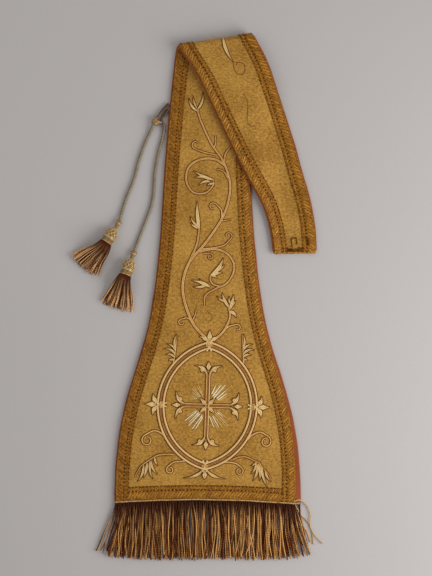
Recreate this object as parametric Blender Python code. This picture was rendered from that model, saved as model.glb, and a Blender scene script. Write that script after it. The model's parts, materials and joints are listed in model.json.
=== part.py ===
"""A clerical stole of gold cloth, folded in half at the neck and laid flat with its top turned over.

Lengths are in metres. The stole lies on the plane Z = 0 with its fringed hems towards -Y, and the origin is
the middle of its underside, tassels left out. Both halves follow one middle surface: the front half lies
above it and the back half below it, each as cloth over its lining. At the fold the surface rolls round a
cylinder and comes back on top of itself, so the last stretch shows the back half's face. A point of a half
is given by `up`, the distance along its centre line from the hem, by `along`, the distance across it, and
by `out`, the distance from the middle surface towards that half's face.
"""

import math
import random
from collections import namedtuple

import bmesh
import bpy
from mathutils import Matrix, Vector

FRONT, LININGS, BACK = -1, 0, 1
LEFT, RIGHT = -1, 1

# Thicknesses and gaps. Raised lines joined into one solid each lie NUDGE higher than the last, so that no
# two of their faces share a plane.
GAP = 0.0003
NUDGE = 0.00002
CLOTH_THICK = 0.0014
LINING_THICK = 0.0010
BRAID_THICK = 0.0009
LINING_SHOWS = 0.0012
LININGS_OUT = LINING_THICK
CLOTH_OUT = LININGS_OUT + GAP
FACE_OUT = CLOTH_OUT + CLOTH_THICK
TRIM_OUT = FACE_OUT + GAP

# One half of the stole, from its hem to the seam at the neck.
HALF_LENGTH = 0.969
BRAID_WIDTH = 0.0185
Width = namedtuple("Width", "up half_width")
OUTLINE = (
    Width(0.000, 0.1265),
    Width(0.042, 0.1262),
    Width(0.077, 0.1238),
    Width(0.113, 0.1190),
    Width(0.150, 0.1107),
    Width(0.185, 0.1004),
    Width(0.221, 0.0893),
    Width(0.256, 0.0806),
    Width(0.294, 0.0740),
    Width(0.365, 0.0660),
    Width(0.431, 0.0616),
    Width(0.540, 0.0560),
    Width(0.640, 0.0516),
    Width(0.716, 0.0476),
    Width(0.788, 0.0431),
    Width(0.830, 0.0400),
    Width(0.879, 0.0345),
    Width(0.922, 0.0319),
    Width(0.969, 0.0302),
)
# How the centre line bends in its own plane, in degrees to the left.
Bend = namedtuple("Bend", "start end turn")
BENDS = (
    Bend(0.000, 0.420, 0.0),
    Bend(0.420, 0.640, -5.0),
    Bend(0.640, 0.880, 0.0),
    Bend(0.880, HALF_LENGTH, 20.5),
)
# Near the fold the sections run along it, and at both ends they run square across.
FOLD_ANGLE = 8.5
Section = namedtuple("Section", "up degrees")
SECTION_ANGLES = (
    Section(0.000, 0.0),
    Section(0.420, 0.0),
    Section(0.600, FOLD_ANGLE),
    Section(0.730, FOLD_ANGLE),
    Section(HALF_LENGTH, 16.0),
)
# The two hems lie a few millimetres apart, and come together by SWING_END. The linings reach as far as both.
HEM_SWING = {FRONT: -0.0025, BACK: 0.0039}
SWING_END = 0.38

# The fold, and how the turned-over stretch comes down on the panel and past its edge on to the floor.
FOLD_UP = 0.640
FOLD_RADIUS = 0.0070
SETTLE_RUN = 0.130
SIDE_DRIFT = 0.0080
SIDE_DRIFT_RUN = 0.070
ON_FLOOR = FACE_OUT
ON_PANEL = 0.0112
STRIP_ON_FLOOR = FACE_OUT + 0.0004
DROOP_AT_FOLD = 0.060
DROOP_AT_NECK = 0.040
HEM_PLACE = Vector((-0.0011, -0.2879, 0.0))

# Where the hems lie along the centre line. They bow up in their middle and lean, which dies out by BOW_END.
HEM_UP = 0.0046
HEM_BOW = 0.0049
HEM_LEAN = -0.0010
BOW_HALF = 0.125
BOW_END = 0.044
BOW_FADE = 0.018

# Grids.
FLAT_SECTIONS = 16
FOLD_SECTIONS = 8
STRIP_SECTIONS = 10
NECK_SECTIONS = 3
INNER_COLUMNS = 4
HEM_COLUMNS = 4
SLOPE_STEP = 0.0005

# Fringes: a heading tape along each hem, and the twisted strands that hang from it.
Fringe = namedtuple("Fringe", "half strands strand_width root_z tip_z lean_left lean_right seed")
FRINGES = {
    "fringe_front": Fringe(FRONT, 84, 0.0015, 0.0050, 0.0034, 0.026, 0.022, 11),
    "fringe_back": Fringe(BACK, 40, 0.0015, 0.0012, 0.0012, 0.016, 0.014, 12),
}
FRINGE_DROP = 0.0755
HEADING_HEIGHT = 0.0030
HEADING_THICK = 0.0018
ROOT_UNEVEN = 0.0001
STRAND_SINK = 0.0010
LEAN_POWER = 9
STRAND_STEPS = 2
TAPE_SECTIONS = 8
STRAY_REACH = 0.0300

# The tied cord, its knot and its two tassels, which lie on the floor.
CORD_RADIUS = 0.0020
CORD_LOW = CORD_RADIUS + GAP
KNOT_PLACE = Vector((-0.0720, 0.2473, 0.0050))
KNOT_RADII = (0.0075, 0.0062, 0.0047)
KNOT_TURN = 48.0
Tassel = namedtuple("Tassel", "cord_end head_heading skirt_heading seed")
TASSELS = {
    "left": Tassel(Vector((-0.1245, 0.1063, 0.0043)), -122.0, -134.0, 21),
    "right": Tassel(Vector((-0.1037, 0.0638, 0.0043)), -110.0, -106.0, 22),
}
# Radii of a tassel's head along its axis, from the cord's end to the root of the skirt.
Turned = namedtuple("Turned", "run radius")
TASSEL_HEAD = (
    Turned(0.0000, 0.0000),
    Turned(0.0004, 0.0028),
    Turned(0.0030, 0.0044),
    Turned(0.0062, 0.0034),
    Turned(0.0085, 0.0026),
    Turned(0.0115, 0.0034),
    Turned(0.0140, 0.0064),
    Turned(0.0180, 0.0078),
    Turned(0.0225, 0.0086),
    Turned(0.0262, 0.0076),
    Turned(0.0290, 0.0080),
    Turned(0.0310, 0.0070),
    Turned(0.0310, 0.0000),
)
HEAD_SIDES = 12
HEAD_PITCH = 12.4
SKIRT_LENGTH = 0.0500
SKIRT_SPREAD = 3.6
SKIRT_STRAND = 0.0013
SkirtRow = namedtuple("SkirtRow", "root_height tip_z strands")
SKIRT_ROWS = (
    SkirtRow(-0.0036, 0.0012, 6),
    SkirtRow(-0.0006, 0.0036, 7),
    SkirtRow(0.0024, 0.0060, 6),
    SkirtRow(0.0050, 0.0084, 4),
)
SKIRT_PITCH = 0.0021

# Raised embroidery. A profile lists the points across a raised line: shares of its half width and height.
CORDING_HEIGHT = 0.0011
LEAF_HEIGHT = 0.0015
TIP_WIDTH = 0.0008
RIDGE = ((1.0, 0.0), (0.0, 1.0), (-1.0, 0.0))
BAND = ((1.0, 0.0), (0.6, 1.0), (-0.6, 1.0), (-1.0, 0.0))
TWO_RAILS = ((1.0, 0.0), (0.76, 1.0), (0.46, 0.4), (-0.46, 0.4), (-0.76, 1.0), (-1.0, 0.0))
TENDRIL_STEPS = 12
WINDING = 1.5
LEAF_STEPS = 4
LEAF_SPACING = 0.0014
# A tendril sets out at a heading, turns by `turn` in all, and ends in leaves that spread from its last heading.
Tendril = namedtuple("Tendril", "x up heading length turn width leaves")
Leaf = namedtuple("Leaf", "spread length turn width")

# The medallion: a pointed oval of two arcs, as a pair of rails, tied by four clasps round a cross.
MEDALLION_UP = 0.1388
MEDALLION_HALF_WIDTH = 0.0655
MEDALLION_HALF_HEIGHT = 0.0855
RAILS_WIDTH = 0.0122
ARC_STEPS = 18
BUD_PLUMP = 0.50
SIDE_LEAF_WIDTH = 0.0062
CLASP_WIDTHS = (0.0080, 0.0056, 0.0080)
CLASP_BUD = 0.0160
Clasp = namedtuple("Clasp", "heading side_leaf spread")
CLASPS = (
    Clasp(0.0, 0.0170, 62.0),
    Clasp(90.0, 0.0170, 62.0),
    Clasp(180.0, 0.0170, 62.0),
    Clasp(270.0, 0.0300, 72.0),
)
CROSS_ARM_ACROSS = 0.0500
CROSS_ARM_UP = 0.0620
CROSS_BAR_WIDTH = 0.0070
CROSS_BUD = 0.0125
CROSS_SIDE_LEAF = 0.0185
CROSS_SPREAD = 64.0
PETAL = Leaf(0.0, 0.0150, 0.0, 0.0056)
MEDALLION_TENDRILS = (
    Tendril(0.0590, 0.1020, 38.0, 0.0600, -345.0, 0.0026, ()),
    Tendril(0.0270, 0.0580, 8.0, 0.0520, -330.0, 0.0024, ()),
)
SPRAY_LOW_LEAVES = (
    Leaf(0.0, 0.0360, -46.0, 0.0072),
    Leaf(-30.0, 0.0330, -26.0, 0.0078),
    Leaf(-66.0, 0.0230, 6.0, 0.0060),
)
SPRAY_HIGH_LEAVES = (
    Leaf(4.0, 0.0320, 6.0, 0.0066),
    Leaf(-36.0, 0.0190, 34.0, 0.0060),
    Leaf(-58.0, 0.0090, 0.0, 0.0045),
)
SPRAYS = {
    "low": Tendril(0.0500, 0.0690, 16.0, 0.0250, -50.0, 0.0024, SPRAY_LOW_LEAVES),
    "high": Tendril(0.0564, 0.1935, 84.0, 0.0070, 0.0, 0.0030, SPRAY_HIGH_LEAVES),
}

# The vine: the turns of its stem, and what branches off it.
StemTurn = namedtuple("StemTurn", "x up")
VINE_STEM = (
    StemTurn(0.001, 0.249),
    StemTurn(-0.021, 0.260),
    StemTurn(-0.0335, 0.293),
    StemTurn(-0.0275, 0.333),
    StemTurn(0.000, 0.369),
    StemTurn(0.023, 0.405),
    StemTurn(0.032, 0.443),
    StemTurn(0.0235, 0.477),
    StemTurn(0.004, 0.506),
    StemTurn(-0.012, 0.537),
    StemTurn(-0.0175, 0.554),
)
STEM_WIDTHS = (0.0040, 0.0018)
INNER_LEAVES = (Leaf(0.0, 0.0180, 20.0, 0.0070), Leaf(-44.0, 0.0130, 10.0, 0.0050))
UPRIGHT_LEAVES = (Leaf(0.0, 0.0380, -8.0, 0.0080), Leaf(36.0, 0.0200, 16.0, 0.0060))
LOW_LEAVES = (Leaf(26.0, 0.0160, -10.0, 0.0062), Leaf(-42.0, 0.0160, 14.0, 0.0056))
SIDE_LEAF = (Leaf(0.0, 0.0200, -16.0, 0.0064),)
FORKED_LEAVES = (Leaf(12.0, 0.0260, -16.0, 0.0065), Leaf(-44.0, 0.0220, 14.0, 0.0060))
VINE_TENDRILS = (
    Tendril(-0.0120, 0.3530, 14.0, 0.1500, -330.0, 0.0030, INNER_LEAVES),
    Tendril(0.0250, 0.4730, 150.0, 0.1400, 320.0, 0.0030, INNER_LEAVES),
    Tendril(0.0150, 0.3025, 196.0, 0.0330, 78.0, 0.0024, ()),
    Tendril(0.0080, 0.3050, 176.0, 0.0080, 0.0, 0.0024, SIDE_LEAF),
    Tendril(0.0205, 0.4020, 90.0, 0.0400, 250.0, 0.0024, ()),
    Tendril(-0.0060, 0.3600, 4.0, 0.0500, 160.0, 0.0024, ()),
    Tendril(-0.0250, 0.3410, 72.0, 0.0440, 14.0, 0.0026, UPRIGHT_LEAVES),
    Tendril(0.0010, 0.2495, 6.0, 0.0440, 100.0, 0.0034, LOW_LEAVES),
    Tendril(-0.0210, 0.2600, 150.0, 0.0240, 230.0, 0.0022, ()),
    Tendril(0.0200, 0.2600, 30.0, 0.0260, -230.0, 0.0022, ()),
    Tendril(0.0235, 0.4770, 84.0, 0.0200, -50.0, 0.0024, ()),
    Tendril(-0.0172, 0.5490, 108.0, 0.0040, 0.0, 0.0024, FORKED_LEAVES),
)
STRIP_LEAF = Leaf(0.0, 0.0340, 42.0, 0.0060)
STRIP_LEAF_ROOT = (0.0060, 0.6640)
STRIP_LEAF_HEADING = 88.0

COLOURS = {  # base colour, roughness, metallic
    "gold_cloth": ((0.42, 0.25, 0.07), 0.55, 0.25),
    "lining": ((0.33, 0.075, 0.025), 0.60, 0.0),
    "braid": ((0.28, 0.14, 0.03), 0.55, 0.30),
    "fringe": ((0.25, 0.13, 0.05), 0.45, 0.35),
    "cording": ((0.55, 0.28, 0.12), 0.45, 0.35),
    "gold_thread": ((0.66, 0.44, 0.17), 0.35, 0.60),
    "cord": ((0.24, 0.16, 0.08), 0.55, 0.15),
}


# ---------------------------------------------------------------------------------------------- helpers


def ease(share):
    """0 to 1 with level ends, for a share that may lie outside 0 to 1."""
    share = max(0.0, min(1.0, share))
    return share * share * (3 - 2 * share)


def smooth_value(rows, at):
    """The second column of a table at a value of its first, on a smooth curve through the rows."""
    at = max(rows[0][0], min(rows[-1][0], at))
    last = len(rows) - 1
    i = next(k for k in range(last) if at <= rows[k + 1][0])

    def slope(k):
        low, high = max(k - 1, 0), min(k + 1, last)
        return (rows[high][1] - rows[low][1]) / (rows[high][0] - rows[low][0])

    run = rows[i + 1][0] - rows[i][0]
    t = (at - rows[i][0]) / run
    low_weight = (1 + 2 * t) * (1 - t) ** 2
    high_weight = t * t * (3 - 2 * t)
    bulge = t * (1 - t) ** 2 * slope(i) - t * t * (1 - t) * slope(i + 1)
    return low_weight * rows[i][1] + high_weight * rows[i + 1][1] + run * bulge


def direction(degrees):
    """The unit vector at an angle from +X, in the plane."""
    return Vector((math.cos(math.radians(degrees)), math.sin(math.radians(degrees))))


def curve_through(points, steps):
    """Points on a Catmull-Rom curve through the given ones, with so many steps between each two."""
    ends = [2 * points[0] - points[1], *points, 2 * points[-1] - points[-2]]
    found = []
    for a, b, c, d in zip(ends, ends[1:], ends[2:], ends[3:]):
        for k in range(steps):
            t = k / steps
            found.append(
                0.5 * (2 * b + (c - a) * t + (2 * a - 5 * b + 4 * c - d) * t**2 + (3 * b - a - 3 * c + d) * t**3)
            )
    return [*found, points[-1]]


def material(name):
    """The material of that name in COLOURS, made once."""
    if name in bpy.data.materials:
        return bpy.data.materials[name]
    made = bpy.data.materials.new(name)
    made.use_nodes = True
    colour, roughness, metallic = COLOURS[name]
    shader = made.node_tree.nodes["Principled BSDF"]
    shader.inputs["Base Color"].default_value = (*colour, 1.0)
    shader.inputs["Roughness"].default_value = roughness
    shader.inputs["Metallic"].default_value = metallic
    return made


def collection(name):
    """The scene's collection of that name, made once."""
    if name not in bpy.data.collections:
        bpy.context.scene.collection.children.link(bpy.data.collections.new(name))
    return bpy.data.collections[name]


def add_object(name, data, finish, into="clerical_stole"):
    """An object from a mesh or curve, in a collection, with its material."""
    made = bpy.data.objects.new(name, data)
    made.data.materials.append(material(finish))
    collection(into).objects.link(made)
    return made


def loft(rings, closed=False, skin=0):
    """A mesh through rings of points, with flat ends, or joined end to end where closed.

    A wall's ring goes along one skin, of so many points, and back along the other. Both are then split into
    triangles the same way, so that walls that lie on each other stay apart where they are twisted, and its ends
    are split at every column.
    """
    mesh = bmesh.new()
    verts = [[mesh.verts.new(point) for point in ring] for ring in rings]
    pairs = list(zip(verts, verts[1:]))
    if closed:
        pairs.append((verts[-1], verts[0]))
    else:
        for ring in (verts[0], verts[-1]):
            cuts = [(k, k + 1, -k - 2, -k - 1) for k in range(skin - 1)]
            for corners in cuts or [range(len(ring))]:
                mesh.faces.new([ring[k] for k in corners])
    for low, high in pairs:
        for k in range(len(low)):
            a, b, c, d = low[k - 1], low[k], high[k], high[k - 1]
            splits = ((a, b, c, d),)
            if skin:
                splits = ((a, b, d), (b, c, d)) if k > skin else ((a, b, c), (a, c, d))
            for corners in splits:
                mesh.faces.new(corners)
    bmesh.ops.recalc_face_normals(mesh, faces=mesh.faces)
    data = bpy.data.meshes.new("loft")
    mesh.to_mesh(data)
    mesh.free()
    return data


def joined(meshes, lift=0.0):
    """One mesh that holds several, each `lift` higher than the one before."""
    whole = bmesh.new()
    for k, data in enumerate(meshes):
        data.transform(Matrix.Translation((0.0, 0.0, k * lift)))
        whole.from_mesh(data)
    made = bpy.data.meshes.new("joined")
    whole.to_mesh(made)
    whole.free()
    return made


def union(name, body, added, finish, crossing=False):
    """One solid from a mesh and another that is joined to it, whose own pieces may cross each other."""
    whole = add_object(name, body, finish)
    other = add_object(f"{name}_joined", added, finish, "joined_pieces")
    other.hide_render = True
    other.display_type = "WIRE"
    join = whole.modifiers.new("join", "BOOLEAN")
    join.operation = "UNION"
    join.object = other
    join.use_self = crossing
    return whole


def embroidered(name, pieces, finish):
    """One solid from raised lines and leaves that cross each other."""
    for piece in pieces[1:]:
        piece.transform(Matrix.Translation((0.0, 0.0, NUDGE)))
    return union(name, pieces[0], joined(pieces[1:], NUDGE), finish, crossing=True)


# ------------------------------------------------------------------------------- the middle surface


def centre(up):
    """The centre line's point at `up` in the flat pattern, and its heading in degrees."""
    point, heading = Vector((0.0, 0.0)), 90.0
    for bend in BENDS:
        run = up - bend.start if bend is BENDS[-1] else min(up, bend.end) - bend.start
        if run <= 0 and bend is not BENDS[0]:
            break
        turn = bend.turn * run / (bend.end - bend.start)
        half = math.radians(turn) / 2
        chord = run if half == 0 else run * math.sin(half) / half
        point += chord * direction(heading + turn / 2)
        heading += turn
    return point, heading


def to_edge(up, side, inset=0.0):
    """`along` at the edge of a half, or at `inset` in from the edge."""
    point, heading = centre(up)
    skew = math.radians(smooth_value(SECTION_ANGLES, up) - heading + 90.0)
    reach = smooth_value(OUTLINE, up)
    for _ in range(3):
        reach = (smooth_value(OUTLINE, up + side * reach * math.sin(skew)) - inset) / math.cos(skew)
    return side * reach


def lying_height(x, y, past_fold):
    """The middle surface's height where the turned-over stretch lies on the panel or beside it."""
    edge = centre(y)[0].x + smooth_value(OUTLINE, y)
    along = past_fold / (HALF_LENGTH - FOLD_UP)
    droop = DROOP_AT_FOLD + (DROOP_AT_NECK - DROOP_AT_FOLD) * ease(along)
    return ON_PANEL + (STRIP_ON_FLOOR - ON_PANEL) * ease((x - edge) / droop)


def swing(half, up, along):
    """How far to the right a half's section lies, at `along`, where the hems lie apart."""
    ease_off = max(0.0, 1 - up / SWING_END) ** 2
    if half == LININGS:
        half = FRONT if along < 0 else BACK
    return HEM_SWING[half] * ease_off


def bow(up, along):
    """How far up the page the stole lies near its hems, at `along`."""
    share = along / BOW_HALF
    return ease((BOW_END - up) / BOW_FADE) * (HEM_BOW * (1 - share * share) + HEM_LEAN * share)


def middle(half, up, along):
    """The middle surface's point, in the part's frame."""
    shift = Vector((swing(half, up, along), bow(up, along)))
    flat = centre(up)[0] + along * direction(smooth_value(SECTION_ANGLES, up)) + shift
    line, away = direction(FOLD_ANGLE), direction(FOLD_ANGLE + 90.0)
    past = (flat - centre(FOLD_UP)[0]).dot(away)
    roll = math.pi * FOLD_RADIUS
    if past <= 0:
        return HEM_PLACE + Vector((*flat, ON_FLOOR))
    foot = flat - past * away + SIDE_DRIFT * ease(past / SIDE_DRIFT_RUN) * line
    if past < roll:
        angle = past / FOLD_RADIUS
        plan = foot + FOLD_RADIUS * math.sin(angle) * away
        return HEM_PLACE + Vector((*plan, ON_FLOOR + FOLD_RADIUS * (1 - math.cos(angle))))
    plan = foot - (past - roll) * away
    lying = lying_height(*plan, past - roll)
    top = ON_FLOOR + 2 * FOLD_RADIUS
    return HEM_PLACE + Vector((*plan, lying + (top - lying) * (1 - ease((past - roll) / SETTLE_RUN))))


def outward(half, up, along):
    """The middle surface's unit normal, towards the back half, and its unit direction along the stole."""
    step = SLOPE_STEP
    up = min(up, HALF_LENGTH)
    lengthways = middle(half, up + step, along) - middle(half, up - step, along)
    across = middle(half, up, along + step) - middle(half, up, along - step)
    return lengthways.cross(across).normalized(), lengthways.normalized()


def place(half, up, along, out):
    """The point of a half at `out` from the middle surface. Past its length it turns a corner at the neck."""
    normal, onward = outward(half, up, along)
    angle = math.radians(90.0) * max(0.0, up - HALF_LENGTH) / FACE_OUT
    base = middle(half, min(up, HALF_LENGTH), along)
    faces = half or BACK
    return base + out * (faces * math.cos(angle) * normal + math.sin(angle) * onward)


def fold_run():
    """How far `up` runs on while the surface goes once round the fold."""
    return math.pi * FOLD_RADIUS / math.cos(math.radians(FOLD_ANGLE + 90.0 - centre(FOLD_UP)[1]))


def stations():
    """`up` of the sections: on the panel, close together round the fold, and on the turned-over stretch."""
    strip = HALF_LENGTH - FOLD_UP - fold_run()
    found = [HEM_UP, HEM_UP + BRAID_WIDTH]
    found += [FOLD_UP * k / FLAT_SECTIONS for k in range(1, FLAT_SECTIONS)]
    found += [FOLD_UP + fold_run() * k / FOLD_SECTIONS for k in range(FOLD_SECTIONS)]
    found += [FOLD_UP + fold_run() + strip * k / STRIP_SECTIONS for k in range(STRIP_SECTIONS)]
    return [*found, HALF_LENGTH]


# ------------------------------------------------------------------------------------- sewn panels


def braid_line(up, side, gap=0.0):
    """`along` of a side braid's inner edge."""
    return to_edge(up, side, LINING_SHOWS + BRAID_WIDTH + gap)


def columns(up, inset):
    """`along` of a half's columns: its edges drawn in by an inset, its braids' inner edges, and between."""
    left, right = braid_line(up, LEFT), braid_line(up, RIGHT)
    inner = [left + (right - left) * k / INNER_COLUMNS for k in range(INNER_COLUMNS + 1)]
    return [to_edge(up, LEFT, inset), *inner, to_edge(up, RIGHT, inset)]


def layer(name, half, finish, ups, across, outs):
    """A wall between two distances from the middle surface. across gives the columns' `along` at a section."""
    low, high = outs
    rings = []
    for up in ups:
        steps = across(min(up, HALF_LENGTH))
        ring = [place(half, up, along, low) for along in steps]
        rings.append(ring + [place(half, up, along, high) for along in reversed(steps)])
    return add_object(name, loft(rings, skin=len(steps)), finish)


def build_cloth():
    """The gold cloth of each half, whose end turns in at the neck seam."""
    ups = stations() + [HALF_LENGTH + (FACE_OUT - GAP) * k / NECK_SECTIONS for k in range(1, NECK_SECTIONS + 1)]
    for half, word in ((FRONT, "front"), (BACK, "back")):
        layer(f"{word}_cloth", half, "gold_cloth", ups, lambda up: columns(up, LINING_SHOWS), (CLOTH_OUT, FACE_OUT))


def build_linings():
    """The two linings, back to back as one wall, which show along the edges."""
    ups = [*stations()[:-1], HALF_LENGTH - GAP]
    layer("linings", LININGS, "lining", ups, lambda up: columns(up, 0.0), (-LININGS_OUT, LININGS_OUT))


def build_braids():
    """Side braids on the panel and on the turned-over stretch, and the hem braid between them.

    The back half's begin in the fold, at the first section where they clear the floor.
    """
    outs = (TRIM_OUT, TRIM_OUT + BRAID_THICK)
    fold_end = FOLD_UP + fold_run() + GAP
    front_ups = [up for up in stations() if up < fold_end]
    lifts = math.acos((FOLD_RADIUS + ON_FLOOR) / (FOLD_RADIUS + outs[1])) / math.pi
    back_ups = [up for up in stations() if up > FOLD_UP + lifts * fold_run()]
    for side, word in ((LEFT, "left"), (RIGHT, "right")):

        def across(up, side=side):
            return sorted((to_edge(up, side, LINING_SHOWS), braid_line(up, side)))

        layer(f"front_braid_{word}", FRONT, "braid", front_ups, across, outs)
        layer(f"back_braid_{word}", BACK, "braid", back_ups, across, outs)

    def between(up):
        left, right = (braid_line(up, side, GAP) for side in (LEFT, RIGHT))
        return [left + (right - left) * k / HEM_COLUMNS for k in range(HEM_COLUMNS + 1)]

    layer("front_braid_hem", FRONT, "braid", [HEM_UP, HEM_UP + BRAID_WIDTH], between, outs)


# ------------------------------------------------------------------------------------------- fringe


def strand(path, width):
    """A three-sided strand round a path, with a side that faces the floor."""
    rings = []
    for k, point in enumerate(path):
        ahead = path[min(k + 1, len(path) - 1)] - path[max(k - 1, 0)]
        side = ahead.cross(Vector((0.0, 0.0, 1.0))).normalized() * width / 2
        up = side.cross(ahead).normalized() * width / 2
        rings.append([point - side - up, point + side - up, point + up])
    return loft(rings)


def build_fringe(name):
    """A heading tape along a hem, with strands that fan out at both ends of the row."""
    row = FRINGES[name]
    uneven = random.Random(row.seed)
    low_z, high_z = row.root_z - HEADING_THICK / 2, row.root_z + HEADING_THICK / 2
    left, right = (to_edge(HEM_UP, side, LINING_SHOWS) for side in (LEFT, RIGHT))

    def hem(share):
        """The tape's top edge, at a share from -1 at the left end to 1 at the right."""
        found = place(row.half, HEM_UP, left + (right - left) * (share + 1) / 2, CLOTH_OUT)
        return Vector((found.x, found.y - GAP, row.root_z))

    tape = []
    for k in range(TAPE_SECTIONS + 1):
        x, top, _ = hem(2 * k / TAPE_SECTIONS - 1)
        foot = top - HEADING_HEIGHT
        tape.append([Vector((x, y, z)) for y, z in ((top, low_z), (top, high_z), (foot, high_z), (foot, low_z))])
    strands = []
    end_share = 1 - row.strand_width / (right - left)
    for k in range(row.strands):
        share = 2 * k / (row.strands - 1) - 1
        reach = row.lean_left if share < 0 else row.lean_right
        lean = math.copysign(reach * abs(share) ** LEAN_POWER, share)
        root = hem(share * end_share) + Vector((0.0, STRAND_SINK - HEADING_HEIGHT, 0.0))
        length = root.y - HEM_PLACE.y + FRINGE_DROP - 0.35 * abs(lean) + uneven.uniform(-0.0025, 0.0015)
        root.z += uneven.uniform(-ROOT_UNEVEN, ROOT_UNEVEN)
        path = []
        for step in range(STRAND_STEPS + 1):
            t = step / STRAND_STEPS
            drop = (row.tip_z - row.root_z) * ease(t)
            path.append(root + Vector((lean * t**1.5, -length * t, drop)))
        strands.append(strand(path, row.strand_width))
    if row.half == FRONT:
        strands.append(strand(stray_path(hem(1.0)), row.strand_width))
    return union(name, loft(tape), joined(strands), "fringe")


def stray_path(end):
    """One loose strand that leaves the right end of the heading and curls out beyond the others."""
    start = end - Vector((STRAND_SINK, HEADING_HEIGHT / 3, 0.0))
    turns = [
        start,
        start + Vector((0.012, 0.0010, 0.0004)),
        start + Vector((0.0225, -0.0120, -0.0012)),
        start + Vector((0.0265, -0.0300, -0.0022)),
        start + Vector((STRAY_REACH + 0.0040, -0.0520, -0.0022)),
    ]
    return curve_through(turns, 2)


# ------------------------------------------------------------------------------------ cord and tassels


def cord_route(which):
    """A cord's points, from the stole's edge to its tassel, in two stretches: before and after the knot."""
    if which == "left":
        before = [
            (-0.0545, 0.2722, 0.0030),
            (-0.0594, 0.2676, 0.0034),
            (-0.0645, 0.2612, 0.0042),
            (-0.0688, 0.2551, 0.0048),
        ]
        after = [
            (-0.0773, 0.2412, 0.0044),
            (-0.0810, 0.2328, 0.0028),
            (-0.0868, 0.2203, CORD_LOW),
            (-0.0914, 0.2083, CORD_LOW),
            (-0.0960, 0.1953, CORD_LOW),
            (-0.0996, 0.1818, CORD_LOW),
            (-0.1028, 0.1693, CORD_LOW),
            (-0.1078, 0.1563, CORD_LOW),
            (-0.1135, 0.1423, CORD_LOW),
            (-0.1184, 0.1273, CORD_LOW),
            (-0.1220, 0.1148, 0.0034),
        ]
    else:
        before = [
            (-0.0557, 0.2640, 0.0030),
            (-0.0584, 0.2598, 0.0034),
            (-0.0616, 0.2554, 0.0042),
            (-0.0648, 0.2512, 0.0048),
        ]
        after = [
            (-0.0640, 0.2462, 0.0048),
            (-0.0618, 0.2430, 0.0038),
            (-0.0614, 0.2373, 0.0026),
            (-0.0640, 0.2233, CORD_LOW),
            (-0.0682, 0.2083, CORD_LOW),
            (-0.0716, 0.1923, CORD_LOW),
            (-0.0742, 0.1763, CORD_LOW),
            (-0.0754, 0.1603, CORD_LOW),
            (-0.0766, 0.1443, CORD_LOW),
            (-0.0798, 0.1283, CORD_LOW),
            (-0.0856, 0.1123, CORD_LOW),
            (-0.0918, 0.0963, CORD_LOW),
            (-0.0972, 0.0823, CORD_LOW),
            (-0.1012, 0.0713, 0.0034),
        ]
    end = TASSELS[which].cord_end
    toward = direction(TASSELS[which].head_heading)
    after.append(end - GAP * Vector((*toward, 0.0)))
    return [Vector(point) for point in before], [Vector(point) for point in after]


def build_cords():
    """The two cords, each a tube up to the knot and a tube from the knot to its tassel."""
    for which in TASSELS:
        for word, points in zip(("above", "below"), cord_route(which)):
            data = bpy.data.curves.new("cord", "CURVE")
            data.dimensions = "3D"
            data.bevel_depth = CORD_RADIUS
            data.bevel_resolution = 2
            data.use_fill_caps = True
            spline = data.splines.new("POLY")
            route = curve_through(points, 1 if word == "above" else 2)
            spline.points.add(len(route) - 1)
            for slot, point in zip(spline.points, route):
                slot.co = (*point, 1.0)
            add_object(f"cord_{which}_{word}_knot", data, "cord")


def build_knot():
    """The tied knot, a flattened ball lying on the floor."""
    mesh = bmesh.new()
    bmesh.ops.create_uvsphere(mesh, u_segments=14, v_segments=8, radius=1.0)
    bmesh.ops.scale(mesh, vec=KNOT_RADII, verts=mesh.verts)
    data = bpy.data.meshes.new("knot")
    mesh.to_mesh(data)
    mesh.free()
    made = add_object("cord_knot", data, "cord")
    made.location = KNOT_PLACE
    made.rotation_euler.z = math.radians(KNOT_TURN)


def build_tassel(which):
    """A turned head lying on the floor, and a skirt of strands that fans out flat from it."""
    tassel = TASSELS[which]
    heading = direction(tassel.head_heading)
    pitch = math.radians(HEAD_PITCH)
    axis = Vector((*(heading * math.cos(pitch)), math.sin(pitch)))
    across = axis.cross(Vector((0.0, 0.0, 1.0))).normalized()
    above = across.cross(axis)
    frame = Matrix((axis, across, above)).transposed().to_4x4()
    frame.translation = tassel.cord_end
    profile = bmesh.new()
    spun = [profile.verts.new((row.run, 0.0, row.radius)) for row in TASSEL_HEAD]
    edges = [profile.edges.new(pair) for pair in zip(spun, spun[1:])]
    bmesh.ops.spin(
        profile,
        geom=[*spun, *edges],
        axis=(1.0, 0.0, 0.0),
        cent=(0.0, 0.0, 0.0),
        angle=math.tau,
        steps=HEAD_SIDES,
        use_merge=True,
    )
    bmesh.ops.remove_doubles(profile, verts=profile.verts, dist=1e-6)
    bmesh.ops.recalc_face_normals(profile, faces=profile.faces)
    bmesh.ops.transform(profile, matrix=frame, verts=profile.verts)
    head = bpy.data.meshes.new("tassel_head")
    profile.to_mesh(head)
    profile.free()
    return union(f"tassel_{which}", head, joined(skirt(tassel, frame)), "fringe")


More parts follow.
